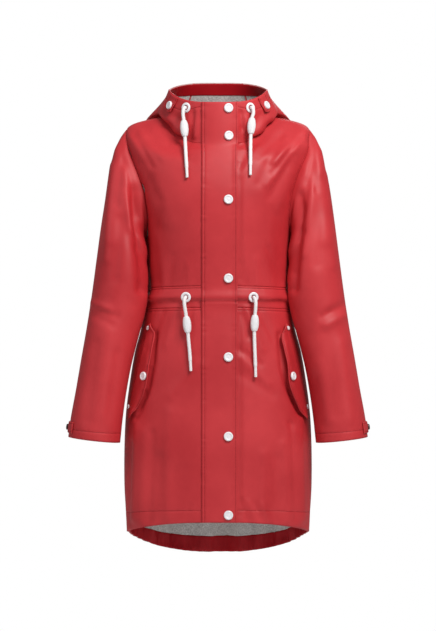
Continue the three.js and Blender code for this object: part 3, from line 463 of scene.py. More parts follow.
# Finer creases in the same columns: soft troughs and ridges of the cloth as it is worn.
CREASES = np.array([
    # inner sides of the sleeves
    [1, -162, -150, -152, -350, 11, -10], [1, 164, -160, 152, -350, 9, -8],
    # beside the free edges of the flaps
    [1, 124, -440, 128, -500, 4.8, -4.6], [1, 129, -508, 140, -546, 4.8, -4.6],
    [1, 144, -554, 167, -604, 5.2, -5], [1, -126, -438, -131, -500, 4.8, -4],
    [1, -133, -510, -141, -548, 4.8, -3.6], [1, -145, -558, -165, -610, 5.2, -4.4],
    # beside the free edge of the placket
    [1, 44, -60, 44, -330, 4, -2.4], [1, 44, -400, 44, -800, 4, -2.4],
    # chest, from the shoulder on the viewer's right
    [1, 176, -26, 112, -96, 6.5, 2.6], [1, 168, -40, 110, -118, 6, -2.8],
    [1, 160, -58, 98, -142, 7.5, 2.6], [1, 150, -82, 104, -166, 8, -2.4],
    [1, 128, -36, 78, -86, 8, -2], [1, 146, -118, 120, -190, 9, 2],
    # chest, viewer's left
    [1, -168, -36, -134, -104, 7, -2.4], [1, -158, -30, -112, -88, 8, 2],
    [1, -152, -100, -118, -170, 9, -1.8], [1, -146, -160, -112, -215, 10, 1.6],
    [1, -100, -62, -52, -94, 10, -1.6],
    # under the neck seam, beside the placket
    [1, 62, -68, 45, -104, 7, -2.8], [1, 82, -66, 46, -122, 8, 1.8],
    # into the waist band
    [1, 100, -270, 126, -338, 8, -1.8], [1, 75, -290, 80, -340, 7, 1.4],
    [1, 48, -300, 56, -341, 6, -1.6], [1, -60, -296, -56, -340, 7, 1.3],
    [1, -90, -284, -100, -340, 8, -1.5], [1, -124, -240, -108, -338, 9, 1.8],
    # out of the waist band
    [1, 48, -392, 62, -446, 6, -2.4], [1, 56, -392, 88, -470, 7, 2],
    [1, 84, -394, 112, -452, 7, -2], [1, 42, -470, 84, -500, 7, -2.2],
    [1, 43, -486, 100, -540, 8, 2], [1, 44, -520, 110, -560, 10, -1.6],
    [1, -52, -392, -66, -440, 7, -1.8], [1, -86, -394, -104, -462, 8, 1.8],
    [1, -112, -396, -140, -470, 8, -2], [1, -42, -500, -96, -560, 11, 1.5],
    # skirt
    [1, -96, -600, -108, -800, 14, 2.4], [1, -132, -640, -140, -812, 9, -2.6],
    [1, -164, -600, -170, -812, 8, 3], [1, -176, -660, -181, -820, 6, -2.6],
    [1, 130, -660, 138, -812, 8, 2.4], [1, 146, -620, 155, -812, 6, -3],
    [1, 166, -610, 172, -815, 7, 3], [1, 90, -680, 88, -812, 12, 1.8],
    # puckers at the hem beside the placket
    [1, 46, -770, 60, -814, 4.5, -2], [1, 60, -772, 76, -814, 4.5, 1.8],
    [1, 74, -776, 90, -814, 4.5, -1.8], [1, 90, -780, 104, -814, 5, 1.6],
    [1, -56, -780, -66, -814, 5, -1.2],
    # sleeves, viewer's left
    [1, -196, -60, -204, -180, 8, -3], [1, -214, -100, -224, -290, 9, 2.8],
    [1, -186, -110, -176, -230, 7, 3], [1, -172, -170, -160, -270, 7, -3.4],
    [1, -166, -230, -156, -330, 7, 2.8], [1, -196, -210, -206, -330, 11, -2.2],
    [1, -252, -378, -216, -392, 7, 3], [1, -250, -402, -214, -420, 8, -2.6],
    [1, -218, -440, -232, -600, 14, 2.2], [1, -246, -460, -262, -610, 12, -2.2],
    [1, -200, -480, -218, -600, 10, -2],
    # sleeves, viewer's right
    [1, 192, -40, 198, -150, 7, -3.2], [1, 180, -60, 172, -170, 6.5, 3],
    [1, 176, -130, 160, -250, 6.5, -3.6], [1, 188, -150, 172, -280, 8, 3],
    [1, 166, -220, 154, -310, 6.5, 2.8], [1, 206, -130, 200, -300, 10, -2.4],
    [1, 222, -120, 232, -300, 10, 2.6], [1, 254, -380, 222, -396, 7, -2.8],
    [1, 252, -404, 216, -424, 8, 2.8], [1, 220, -440, 234, -600, 14, -2.2],
    [1, 248, -460, 264, -610, 12, 2.2], [1, 204, -500, 222, -610, 10, 2],
    # back of the bodice
    [-1, 150, -60, 80, -120, 11, -2.6], [-1, 156, -110, 100, -190, 12, 2.4],
    [-1, -152, -64, -86, -126, 11, -2.4], [-1, -158, -120, -104, -184, 12, 2.6],
    [-1, 130, -210, 118, -336, 10, -2.6], [-1, 98, -240, 92, -338, 9, 2.2],
    [-1, 40, -270, 34, -340, 8, -2], [-1, -18, -262, -20, -340, 9, 2.2],
    [-1, -90, -236, -82, -338, 10, -2.4], [-1, -126, -216, -116, -336, 9, 2.4],
    # back of the skirt
    [-1, 128, -394, 142, -520, 11, -3], [-1, 72, -394, 82, -540, 11, 3],
    [-1, 24, -394, 28, -560, 10, -2.8], [-1, -20, -394, -20, -530, 11, 2.6],
    [-1, -70, -394, -78, -550, 11, -3], [-1, -120, -394, -136, -520, 11, 3],
    [-1, 76, -640, 84, -880, 12, -3], [-1, 28, -660, 28, -895, 11, 3],
    [-1, -18, -650, -22, -895, 11, -2.6], [-1, -64, -640, -72, -885, 12, 2.8],
    [-1, -122, -620, -132, -865, 12, -3], [-1, 128, -620, 136, -865, 12, 2.8],
    # backs of the sleeves
    [-1, 176, -120, 162, -240, 8, 3], [-1, 204, -110, 210, -290, 11, -3],
    [-1, 226, -130, 232, -300, 11, 2.6], [-1, 180, -240, 172, -340, 10, -2.8],
    [-1, 250, -350, 196, -372, 9, 3.4], [-1, 252, -404, 196, -436, 9, 3.4],
    [-1, 226, -450, 240, -600, 14, -2.4], [-1, 258, -470, 270, -610, 12, 2.2],
    [-1, -172, -114, -160, -236, 8, 2.8], [-1, -200, -120, -208, -280, 11, -3.2],
    [-1, -224, -140, -232, -310, 11, 2.8], [-1, -182, -250, -172, -350, 10, -2.6],
    [-1, -250, -346, -198, -366, 9, 3.2], [-1, -252, -408, -194, -440, 9, 3.2],
    [-1, -224, -460, -238, -600, 14, -2.4], [-1, -256, -460, -270, -600, 12, 2.2],
]) / FOLD_UNITS
ALL_FOLDS = np.vstack([FOLDS, CREASES])
FINE_HEM_GATHERS = 62
FINE_HEM_RISE = 0.0020
HEM_DRAPES = 23                 # broad folds of the back above the elastic
HEM_DRAPE_DEPTH = 0.0100        # how far they sink in
HEM_DRAPE_SPAN = (3.6, 1.2, 0.9)    # rings from the hem to where they start, are full and are held
HEM_DRAPE_HELD = 0.75           # how much of them the elastic takes away
HEM_DRAPED = (-0.3, -0.7)       # cosines of the angles between which they set in


def smooth_step(low, high, value):
    t = np.clip((value - low) / (high - low), 0, 1)
    return t * t * (3 - 2 * t)


def normal_of(surface, u, v):
    """The normal of a surface that is given by two numbers, worked out from small steps."""
    step = 0.002
    across = surface(u + step, v) - surface(u - step, v)
    down = surface(u, v + step) - surface(u, v - step)
    return unit(np.cross(across, down))


def folds_at(table, facing, x, z):
    """How far the folds of a table raise the cloth. facing is 1 on the front and -1 behind."""
    rise = np.zeros(np.shape(x))
    for face, x1, z1, x2, z2, width, most in table:
        run_x, run_z = x2 - x1, z2 - z1
        along = ((x - x1) * run_x + (z - z1) * run_z) / (run_x ** 2 + run_z ** 2)
        t = np.clip(along, 0, 1)
        away = np.hypot(x - x1 - t * run_x, z - z1 - t * run_z)
        rise += np.where(facing == face, most * np.exp(-((away / width) ** 2)), 0)
    return rise


def ring_point(angle, place):
    angle, place = np.broadcast_arrays(np.asarray(angle, float), np.asarray(place, float))
    columns = np.moveaxis(between(RINGS, place), -1, 0)
    z_front, z_side, z_back, half, middle, front, back, square, dip = columns
    s, c = np.sin(angle), np.cos(angle)
    size = (np.abs(s) ** square + np.abs(c) ** square) ** (1 / square)
    tilt = 1 - (1 - np.minimum(np.abs(c) ** RING_TILT, 1)) ** dip
    depth, end = np.where(c > 0, front, back), np.where(c > 0, z_front, z_back)
    return np.stack([half * s / size, middle - depth * c / size, z_side + (end - z_side) * tilt], -1)


def coat_normal(angle, place):
    return -normal_of(ring_point, angle, place)


def gathers_at(angle, place):
    """How far the gathers at the waist and the back hem raise the cloth."""
    beside = smooth_step(0.35, 0.6, np.abs(np.sin(angle / 2)) * 2)
    waist = np.exp(-(((place - WAIST_GATHER_MIDDLE) / WAIST_GATHER_SPAN) ** 2)) * WAIST_GATHER_RISE * beside
    behind = smooth_step(*HEM_GATHERED, np.cos(angle))
    hem = smooth_step(HEM - HEM_GATHER_SPAN, HEM, place) * behind * HEM_GATHER_RISE
    fine = hem * FINE_HEM_RISE / HEM_GATHER_RISE * np.sin(FINE_HEM_GATHERS * angle + 1.8 * np.sin(7 * angle))
    first, full, held = (HEM - span for span in HEM_DRAPE_SPAN)
    drape = smooth_step(first, full, place) * (1 - HEM_DRAPE_HELD * smooth_step(held, HEM, place))
    drape = drape * smooth_step(*HEM_DRAPED, np.cos(angle)) * HEM_DRAPE_DEPTH
    drape = -drape * (0.5 - 0.5 * np.sin(HEM_DRAPES * angle + 1.3 * np.sin(5 * angle)))
    return waist * np.sin(WAIST_GATHERS * angle) + hem * np.sin(HEM_GATHERS * angle) + fine + drape


def coat_point(angle, place, out=0.0):
    at = ring_point(angle, place)
    facing = np.where(np.cos(angle) > 0, 1, -1)
    side_fade = smooth_step(0, 0.25, np.abs(np.cos(angle)))
    rise = folds_at(ALL_FOLDS, facing, at[..., 0], at[..., 2]) * side_fade + gathers_at(angle, place)
    return at + coat_normal(angle, place) * (rise + out)[..., None]


def halve(low, high, too_low, rounds=26):
    """The place where a test changes from true to false, found by halving the span."""
    for _ in range(rounds):
        middle = (low + high) / 2
        below = too_low(middle)
        low, high = np.where(below, middle, low), np.where(below, high, middle)
    return (low + high) / 2


def angle_at(x, place):
    """The angle at which a ring reaches a distance to the side, on the front."""
    x, place = np.broadcast_arrays(np.asarray(x, float), np.asarray(place, float))
    side = np.full(x.shape, SIDE_SEAM)
    return halve(-side, side, lambda angle: ring_point(angle, place)[..., 0] < x)


def place_at_height(x, z):
    """The ring at which the front reaches a height."""
    x, z = np.broadcast_arrays(np.asarray(x, float), np.asarray(z, float))
    first, last = np.zeros(x.shape), np.full(x.shape, float(HEM))
    return halve(first, last, lambda place: ring_point(angle_at(x, place), place)[..., 2] > z)


def armhole_open(place):
    t = np.clip((place - SHOULDER_POINT) / (UNDERARM - SHOULDER_POINT), 0, 1)
    return 2 * np.sqrt(t * (1 - t))


def spaced(length, cell, fine_ends, sewn_at=()):
    """Distances for grid lines, close together at sewn ends and at rows of stitches."""
    fine = np.array([0, 0.0006, 0.0013, 0.0022, 0.0034])
    places = [0.0, length]
    places += list(fine) if fine_ends[0] else []
    places += list(length - fine) if fine_ends[1] else []
    for at in sewn_at:
        places += list(at + GROOVE * np.array([-1.6, -0.8, 0, 0.8, 1.6]))
    kept = [0.0]
    for place in sorted(place for place in places if place <= length):
        if place - kept[-1] > 0.0003:
            kept.append(place)
    kept[-1] = length
    lines = [0.0]
    for low, high in zip(kept, kept[1:]):
        lines += list(np.linspace(low, high, max(1, round((high - low) / cell)) + 1)[1:])
    return np.array(lines)


def seam_dip(distance):
    """How far the cloth has sunk at a distance from a seam, with a rounded shoulder."""
    t = np.clip(1 - distance / SEAM_WIDTH, 0, 1)
    return SEAM_ROLL * t * t


def declare_cloth(surface):
    """Works out what the piece was cut to: its longest rows and columns, and the area between, and passes
    none of it on.
    """
    places = np.linspace(0, 1, CUT_CELLS + 1)
    u, v = np.meshgrid(places, places)
    grid = surface(u.ravel(), v.ravel(), 0.0).reshape(*u.shape, 3)
    width = float(max(run_along(row)[-1] for row in grid))
    length = float(max(run_along(column)[-1] for column in grid.transpose(1, 0, 2)))
    across, down = grid[:-1, 1:] - grid[:-1, :-1], grid[1:, :-1] - grid[:-1, :-1]
    area = float(np.linalg.norm(np.cross(across, down), axis=-1).sum())
    area = min(max(area, LEAST_COVER * width * length), width * length)


def measured(surface, down):
    """Places from 0 to 1 along the middle of a surface, and how far each is from the first."""
    t = np.linspace(0, 1, 161)
    still = np.full(len(t), 0.5)
    line = surface(still, t, 0.0) if down else surface(t, still, 0.0)
    return t, run_along(line)


def sewing(name, surface, run, share, edge):
    """A row of stitches on a piece, along its length for the edges l and r and else across it."""
    steps = 4 * round(run / STITCH)
    along = np.linspace(0, 1, steps + 1)
    still = np.full(len(along), share)
    spots = (still, along) if edge in "lr" else (along, still)
    line = surface(*spots, 0.0)
    up = unit(surface(*spots, 0.0005) - line)
    side = unit(np.cross(np.gradient(line, axis=0), up))
    line = line + up * (THREAD * (0.1 - 1.1 * np.cos(math.pi * np.arange(steps + 1) / 2)))[:, None]

    def thread(u, v, out):
        turn = 2 * math.pi * u
        middle, across, high = (between(grid, v * steps) for grid in (line, side, up))
        return round_about(middle, across, high, turn, THREAD + out, THREAD + out)

    made = bend_grid(np.linspace(0, 1, 6), along, thread, closed=True)
    finish_piece(made, name, [thread_fibre])


def cloth_piece(node, surface, materials, name=None, held="stretched", cell=CLOTH_CELL,
                seams="lrtb", stitches=(), thickness=CLOTH, slot="coated_cloth"):
    """A shell of cloth on a surface, which dips at its sewn edges and has its wall inside.

    It takes the place of a node, after which it is named unless it has another name.
    seams names the sewn edges: left and right where u is 0 and 1, top and bottom where v is.
    stitches lists rows of sewing, each as the letter of an edge and the distance from it.
    """
    name = name or f"{node}_cloth"
    u_places, u_run = measured(surface, False)
    v_places, v_run = measured(surface, True)
    width, length = float(u_run[-1]), float(v_run[-1])
    rows = [(edge, away if edge in "lt" else (width if edge == "r" else length) - away)
            for edge, away in stitches]
    u_lines = spaced(width, cell, ("l" in seams, "r" in seams), [at for e, at in rows if e in "lr"])
    v_lines = spaced(length, cell, ("t" in seams, "b" in seams), [at for e, at in rows if e in "tb"])

    def sewn(u, v, out):
        across, down = np.interp(u, u_places, u_run), np.interp(v, v_places, v_run)
        from_edges = {"l": across, "r": width - across, "t": down, "b": length - down}
        nearest = np.min([from_edges[k] for k in seams], axis=0) if seams else np.ones(np.shape(u))
        rise = -seam_dip(nearest)
        for edge, at in rows:
            away, run = (across - at, down) if edge in "lr" else (down - at, across)
            rise = rise - GROOVE_SUNK * np.exp(-((away / GROOVE) ** 2))
            turn = 2 * math.pi * run / PUCKER_LENGTH
            wave = np.sin(turn + 2.1 * np.sin(0.37 * turn)) * (0.55 + 0.45 * np.sin(0.23 * turn))
            rise = rise + PUCKER_RISE * wave * np.exp(-((away / PUCKER_SPAN) ** 2))
        return surface(u, v, out + rise)

    columns, lines = np.interp(u_lines, u_run, u_places), np.interp(v_lines, v_run, v_places)
    made = bend_grid(columns, lines, sewn)
    layer = made.loops.layers.uv["cut"]
    for face in made.faces:
        for loop in face.loops:
            loop[layer].uv = (loop[layer].uv[0] * width, loop[layer].uv[1] * length)
    piece = finish_piece(made, name, materials)
    wall = piece.modifiers.new("wall", "SOLIDIFY")
    wall.thickness = thickness
    wall.offset = -1
    wall.material_offset = len(materials) - 1
    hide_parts(node)
    declare_cloth(surface)
    for number, (edge, at) in enumerate(rows, 1):
        down = edge in "lr"
        share = np.interp(at, u_run, u_places) if down else np.interp(at, v_run, v_places)
        sewing(f"{name}_thread_{number}", sewn, length if down else width, share, edge)


def coated_face(name, deep, bright, gloss=0.42):
    """The coated outside: a smooth satin film on knit, with a faint grain and soft waves."""
    material, tree, shader = new_material(name, 0.5, Specular_IOR_Level=gloss)
    place = object_place(tree)
    cloud = noise(tree, place, 7.0, 4.0, Roughness=0.55)
    paint = blend_colours(tree, share_between(tree, cloud, 0.35, 0.65), colour(*deep), colour(*bright))
    grain = noise(tree, place, 1300.0, 2.0)
    speck = share_between(tree, grain, 0.3, 0.7, 0.0, 0.07)
    paint = blend_colours(tree, speck, paint, colour(*deep))
    tree.links.new(paint, shader.inputs["Base Color"])
    tree.links.new(share_between(tree, cloud, 0.3, 0.7, 0.49, 0.61), shader.inputs["Roughness"])
    crumple = noise(tree, place, 9.0, 2.0, Roughness=0.45, Distortion=0.6)
    soft = add_bump(tree, shader, crumple, 0.0017)
    add_bump(tree, shader, grain, 0.00007, soft)
    return material


def knit_back():
    """The inside of the cloth: a fine grey melange jersey."""
    material, tree, shader = new_material("knit_back", 0.9, Specular_IOR_Level=0.2, Sheen_Weight=0.25)
    place = object_place(tree)
    yarn = noise(tree, place, 420.0, 4.0)
    share = share_between(tree, yarn, 0.35, 0.65)
    paint = blend_colours(tree, share, colour(186, 179, 177), colour(240, 236, 233))
    patch = share_between(tree, noise(tree, place, 90.0, 3.0), 0.4, 0.7, 0.0, 0.35)
    paint = blend_colours(tree, patch, paint, colour(184, 178, 176))
    tree.links.new(paint, shader.inputs["Base Color"])
    cut = new_node(tree, "ShaderNodeUVMap", uv_map="cut").outputs["UV"]
    wales = new_node(tree, "ShaderNodeTexWave", {"Vector": cut, "Scale": 260.0, "Distortion": 0.6})
    soft = add_bump(tree, shader, wales.outputs["Fac"], 0.0003)
    add_bump(tree, shader, yarn, 0.0003, soft)
    return material


coat_face = coated_face("coated_cloth_face", (186, 39, 46), (203, 51, 57))
coat_back = knit_back()
thread_fibre = mottled("red_thread", 0.7, (1500.0, 2.0), (112, 10, 18), (150, 22, 32), 0.0001,
                       Specular_IOR_Level=0.15)
coat_cloth = [coat_face, coat_back]


def body_panel(name, top, bottom, first_edge, last_edge, **facts):
    """A piece of the coat's body between two rings and two edges, which are angles for a place."""

    def surface(u, v, out):
        place = top + (bottom - top) * v
        first, last = first_edge(place), last_edge(place)
        return coat_point(first + (last - first) * u, place, out)

    cloth_piece(name, surface, coat_cloth, **facts)


def meeting_edge(place):
    return angle_at(FRONT_MEETING, place)


def armhole_edge(side, behind):
    """An edge of a front or the back along the side seam and round the armhole."""
    widest = ARMHOLE_BACK if behind else -ARMHOLE_FRONT

    def edge(place):
        angle = SIDE_SEAM + widest * armhole_open(place)
        return side * angle if side > 0 or not behind else 2 * math.pi - angle

    return edge


def body_round(part, top, bottom, seams="lrtb", across=(), outer=(), sides=()):
    """The two fronts and the back between two rings, with edges for the armholes if they have one.

    across lists rows of stitches for all three, outer those beside the armhole or side seam of
    the fronts, and sides those of the back.
    """
    right = across + tuple(("r", away) for away in outer)
    left = across + tuple(("l", away) for away in outer)
    back = across + tuple((edge, away) for edge in "lr" for away in sides)
    body_panel(f"{part}_front_right", top, bottom, meeting_edge, armhole_edge(1, False),
               seams=seams, stitches=right)
    body_panel(f"{part}_front_left", top, bottom, armhole_edge(-1, False), meeting_edge,
               seams=seams, stitches=left)
    body_panel(f"{part}_back", top, bottom, armhole_edge(1, True), armhole_edge(-1, True),
               seams=seams, stitches=back)


body_round("bodice", NECK, BAND_TOP, outer=(0.006,), sides=(0.006,))


# The waist band
# A strip between two seams makes the channel for the waist cord. The cloth above blouses over it
# in a soft roll, with small gathers where the cord draws it in.
body_round("waist_band", BAND_TOP, BAND_BOTTOM, across=(("t", 0.004),))


# The skirt
# Two fronts and a longer, rounded back. Its hem is turned up and stitched, and the elastic in the
# back hem draws the cloth into folds that widen downwards.
body_round("skirt", BAND_BOTTOM, HEM, seams="lrt", across=(("t", 0.005), ("b", 0.030)), sides=(0.005,))


# The sleeves
# Set-in sleeves of two pieces, sewn along the outside and the inside of the arm. Each hangs a
# little forward from the armhole seam, creased at the elbow, with its cuff turned up and stitched.
CUFF = 12
CAP_RINGS = 4
SLEEVE_CLEAR = 0.003
SEAM_TUCK = 0.0024              # how far the sleeve's sewn edge lies under the body's
TUCK_SPAN = 0.16                # over how much of the first ring it comes up again
REACH_SPAN = (-0.024, -0.012, 0, 0.012, 0.024)
CUFF_TURNED = 0.018             # how far up the cuff is turned in
SIDES = {"left": -1, "right": 1}
# Columns: where a ring meets the body side and the outer side, across and in height, its middle
# in depth, and its depths in front of and behind that.
SLEEVE_RINGS = np.array([
    [0.15, -0.247, 0.187, -0.02, 0.004, 0.062, 0.048],
    [0.146, -0.257, 0.202, -0.043, -0.002, 0.066, 0.054],
    [0.141, -0.267, 0.212, -0.073, -0.008, 0.066, 0.058],
    [0.138, -0.28, 0.22, -0.114, -0.015, 0.065, 0.06],
    [0.14, -0.298, 0.229, -0.163, -0.018, 0.066, 0.06],
    [0.138, -0.322, 0.2375, -0.218, -0.027, 0.064, 0.06],
    [0.1385, -0.354, 0.246, -0.282, -0.032, 0.062, 0.06],
    [0.148, -0.402, 0.256, -0.357, -0.033, 0.06, 0.06],
    [0.162, -0.45, 0.266, -0.423, -0.035, 0.059, 0.059],
    [0.176, -0.505, 0.2775, -0.49, -0.039, 0.058, 0.058],
    [0.186, -0.56, 0.288, -0.553, -0.043, 0.056, 0.056],
    [0.193, -0.612, 0.2975, -0.606, -0.048, 0.054, 0.054],
    [0.198, -0.66, 0.303, -0.648, -0.051, 0.052, 0.052],
])


def armhole_spot(t):
    """The angle and the place between rings of a spot of the armhole, for a turn round the sleeve."""
    down = (1 - np.cos(2 * math.pi * t)) / 2
    place = SHOULDER_POINT + (UNDERARM - SHOULDER_POINT) * down
    widest = np.where(t % 1 < 0.5, -ARMHOLE_FRONT, ARMHOLE_BACK)
    return SIDE_SEAM + widest * np.abs(np.sin(2 * math.pi * t)), place


def sleeve_ring_point(t, place):
    columns = np.moveaxis(between(SLEEVE_RINGS, place), -1, 0)
    inner_x, inner_z, outer_x, outer_z, middle, front, back = columns
    c, s = np.cos(2 * math.pi * t), np.sin(2 * math.pi * t)
    return np.stack([
        (inner_x + outer_x) / 2 + (outer_x - inner_x) / 2 * c,
        middle - np.where(s > 0, front, back) * s,
        (inner_z + outer_z) / 2 + (outer_z - inner_z) / 2 * c,
    ], -1)


def sleeve_base(t, place):
    t, place = np.broadcast_arrays(np.asarray(t, float), np.asarray(place, float))
    fade = np.clip(1 - place / CAP_RINGS, 0, None) ** 2
    off = coat_point(*armhole_spot(t)) - sleeve_ring_point(t, np.zeros(t.shape))
    return sleeve_ring_point(t, place) + off * fade[..., None]


def coat_reach(y, z):
    """How far to the side the coat reaches at a depth and height, below the shoulder."""
    first, last = np.full(np.shape(z), float(SHOULDER_POINT)), np.full(np.shape(z), float(HEM))
    place = halve(first, last, lambda p: between(RINGS, p)[..., 1] > z, 22)
    ring = np.moveaxis(between(RINGS, place), -1, 0)
    half, middle, front, back, square = ring[3], ring[4], ring[5], ring[6], ring[7]
    t = np.abs(y - middle) / np.where(y < middle, front, back)
    return np.where(t < 1, half * (1 - np.minimum(t, 1) ** square) ** (1 / square), 0)


def sleeve_point(side, t, place, out=0.0):
    t, place = np.broadcast_arrays(np.asarray(t, float), np.asarray(place, float))
    at = sleeve_base(t, place)
    normal = normal_of(sleeve_base, t, np.maximum(place, 0.01))
    s = np.sin(2 * math.pi * t)
    fade = smooth_step(0, 1.2, place) * smooth_step(0, 0.3, np.abs(s))
    rise = folds_at(ALL_FOLDS, np.where(s > 0, 1, -1), side * at[..., 0], at[..., 2])
    at = at + normal * (rise * fade)[..., None]
    reach = np.max([coat_reach(at[..., 1], at[..., 2] + dz) for dz in REACH_SPAN], axis=0)
    held_off = (place > 0.2) & (normal[..., 0] < 0)
    at[..., 0] = np.where(held_off, np.maximum(at[..., 0], reach + SLEEVE_CLEAR), at[..., 0])
    at = at + normal * (np.zeros(t.shape) + out)[..., None]
    at[..., 0] *= side
    return at


def sleeve_half(node, side, start):

    def surface(u, v, out):
        t = start + 0.5 * u
        tuck = SEAM_TUCK * np.clip(1 - CUFF * v / TUCK_SPAN, 0, 1) ** 2
        under = coat_normal(*armhole_spot(t)) * tuck[:, None]
        under[:, 0] *= side
        return sleeve_point(side, t, CUFF * v, out) - under

    cloth_piece(node, surface, coat_cloth, seams="lr", stitches=(("b", CUFF_TURNED),))


for side_name, side in SIDES.items():
    sleeve_half(f"sleeve_front_{side_name}", side, 0.0)
    sleeve_half(f"sleeve_back_{side_name}", side, 0.5)


# The cuff tabs
# A short strap of doubled cloth on the outside of each cuff, closed by a small dark snap.
TAB_OUT = 0.003
TAB_CELL = 0.002
CUFF_TAB = {"start": -0.13, "end": 0.10, "top": 11.22, "bottom": 11.72}


def cuff_tab(node, side):

    def surface(u, v, out):
        turn = CUFF_TAB["start"] + (CUFF_TAB["end"] - CUFF_TAB["start"]) * u
        place = CUFF_TAB["top"] + (CUFF_TAB["bottom"] - CUFF_TAB["top"]) * v
        return sleeve_point(side, turn, place, TAB_OUT + out)

    cloth_piece(node, surface, [coat_face], cell=TAB_CELL, held="laid",
                stitches=(("t", 0.003), ("b", 0.003)))


for side_name, side in SIDES.items():
    cuff_tab(f"cuff_tab_{side_name}", side)


# The placket
# A straight fly of doubled cloth covers the front closing from the throat to the hem. It is sewn
# down on its left and held by seven snaps near its free right edge.
PLACKET_LEFT = -0.033
PLACKET_RIGHT = 0.038
PLACKET_OUT = 0.003
PLACKET_BRIDGE = 0.0034         # how far it stands off the coat over the fold of the waist
BRIDGE_PLACE = 13.2
BRIDGE_SPAN = 0.75
PLACKET_LIFT = 0.0026           # how far its free edge stands up
PLACKET_FREE = 0.86             # where across it the free edge starts to stand up


def placket_surface(u, v, out):
    x = PLACKET_LEFT + (PLACKET_RIGHT - PLACKET_LEFT) * u
    place = HEM * v
    bridge = PLACKET_BRIDGE * np.exp(-(((place - BRIDGE_PLACE) / BRIDGE_SPAN) ** 2))
    free_edge = PLACKET_LIFT * smooth_step(PLACKET_FREE, 1, u)
    return coat_point(angle_at(x, place), place, PLACKET_OUT + bridge + free_edge + out)


cloth_piece("placket", placket_surface, [coat_face], cell=0.0035, seams="l", held="laid",
            stitches=(("l", 0.0015), ("l", 0.0068), ("r", 0.0035)))


# The hood
# Two side pieces and a middle strip, sewn along the neck. The hood lies open: its front edge stands
# up round the throat, and the rest falls over the shoulders and the back in a soft roll.
HOOD_GUSSET = math.radians(150)
HOOD_START = 0.0009
HOOD_LAP = 0.05                 # how many rings its sewn edge laps over the coat's
HOOD_SAG = 0.12
HOOD_TURNED = 0.020             # how far in its edge is turned
UNDER_SHARE = 0.4
ROLL_TOP = 0.5                  # how much of the bulge is left where the roll comes to the edge
ROLL_DROP = 0.35                # how far below the edge it starts to turn over
# Columns: degrees from the front, how far the underside runs down the shoulder in rings, how far
# the roll stands off the coat there, how far it bulges out, and how much of this there is.
HOOD = np.array([
    [0, 0.2, 0.002, 0, 0],
    [22, 0.2, 0.002, 0.001, 0],
    [42, 0.15, 0.004, 0.005, 0.7],
    [60, 0.36, 0.007, 0.008, 1],
    [80, 0.64, 0.008, 0.009, 1],
    [100, 0.85, 0.009, 0.009, 1],
    [126, 1.7, 0.012, 0.021, 1],
    [153, 2.8, 0.015, 0.031, 1],
    [180, 3.25, 0.016, 0.034, 1],
    [207, 2.8, 0.015, 0.031, 1],
])
# Creases in the same columns as the coat's.
HOOD_CREASES = np.array([
    # beside the placket
    [1, -50, 4, -56, -46, 6, -3.4], [1, -43, 8, -45, -44, 4.8, 2.4],
    [1, -82, -4, -64, -36, 7, -3], [1, -100, -6, -78, -30, 6, 2.8],
    [1, -122, -4, -96, -22, 6, -2.8], [1, -86, 16, -100, -2, 8, 2.2],
    [1, 46, 4, 50, -26, 5, -3.6], [1, 50, -30, 62, -46, 6, -3.4],
    [1, 56, -8, 58, -34, 5.5, 2.6], [1, 84, 2, 66, -36, 6.5, -2.6],
    [1, 104, -2, 82, -30, 6.5, 2.8], [1, 128, -6, 100, -18, 6, -3],
    [1, 92, 14, 108, -4, 8, 2.2],
    # behind
    [-1, 44, 30, 34, -60, 11, 2.6], [-1, 10, 34, 6, -70, 10, -2.6],
    [-1, -36, 30, -30, -64, 11, 2.8],
]) / FOLD_UNITS


def hood_shape(angle):
    turn = np.degrees(np.arccos(np.clip(np.cos(angle), -1, 1)))
    return between(HOOD, np.interp(turn, HOOD[:, 0], np.arange(len(HOOD))))


def bezier(a, b, c, d, t):
    s, t = 1 - t[..., None], t[..., None]
    return a * s ** 3 + b * 3 * s * s * t + c * 3 * s * t * t + d * t ** 3


def hood_point(angle, up):
    angle, up = np.broadcast_arrays(np.asarray(angle, float), np.asarray(up, float))
    shape = np.moveaxis(hood_shape(angle), -1, 0)
    reach, lift, bulge, folded = shape[1], shape[2], shape[3], np.clip(shape[4], 0, 1)[..., None]
    rim = ring_point(angle, np.zeros(angle.shape))
    upright = ring_point(angle, (NECK + HOOD_LAP) * (1 - up))
    under = np.minimum(up / UNDER_SHARE, 1)
    over = np.maximum((up - UNDER_SHARE) / (1 - UNDER_SHARE), 0)
    place = NECK + HOOD_LAP * (1 - under) + reach * under
    stand = HOOD_START + (lift - HOOD_START) * under
    low = ring_point(angle, place) + coat_normal(angle, place) * stand[..., None]
    away = np.stack([np.sin(angle), -np.cos(angle), np.zeros(angle.shape)], -1)
    start = low + away * bulge[..., None]
    start[..., 2] -= HOOD_SAG * bulge
    finish = rim + away * (bulge * ROLL_TOP)[..., None]
    finish[..., 2] -= ROLL_DROP * (rim - low)[..., 2]
    rolled = np.where(over[..., None] > 0, bezier(low, start, finish, rim, over), low)
    return upright * (1 - folded) + rolled * folded


def on_hood(angle, up, out=0.0):
    at = hood_point(angle, up)
    normal = normal_of(hood_point, angle, np.clip(up, 0.003, 0.997))
    facing = np.where(np.cos(angle) > 0, 1, -1)
    fade = smooth_step(1, 0.9, up) * smooth_step(0, 0.1, up) * smooth_step(0, 0.2, np.abs(np.cos(angle)))
    rise = folds_at(HOOD_CREASES, facing, at[..., 0], at[..., 2]) * fade
    return at + normal * (rise + out)[..., None]


def hood_panel(node, start, end):

    def surface(u, v, out):
        return on_hood(start + (end - start) * u, v, out)

    cloth_piece(node, surface, coat_cloth, seams="lrt", held="folded", stitches=(("b", HOOD_TURNED),))


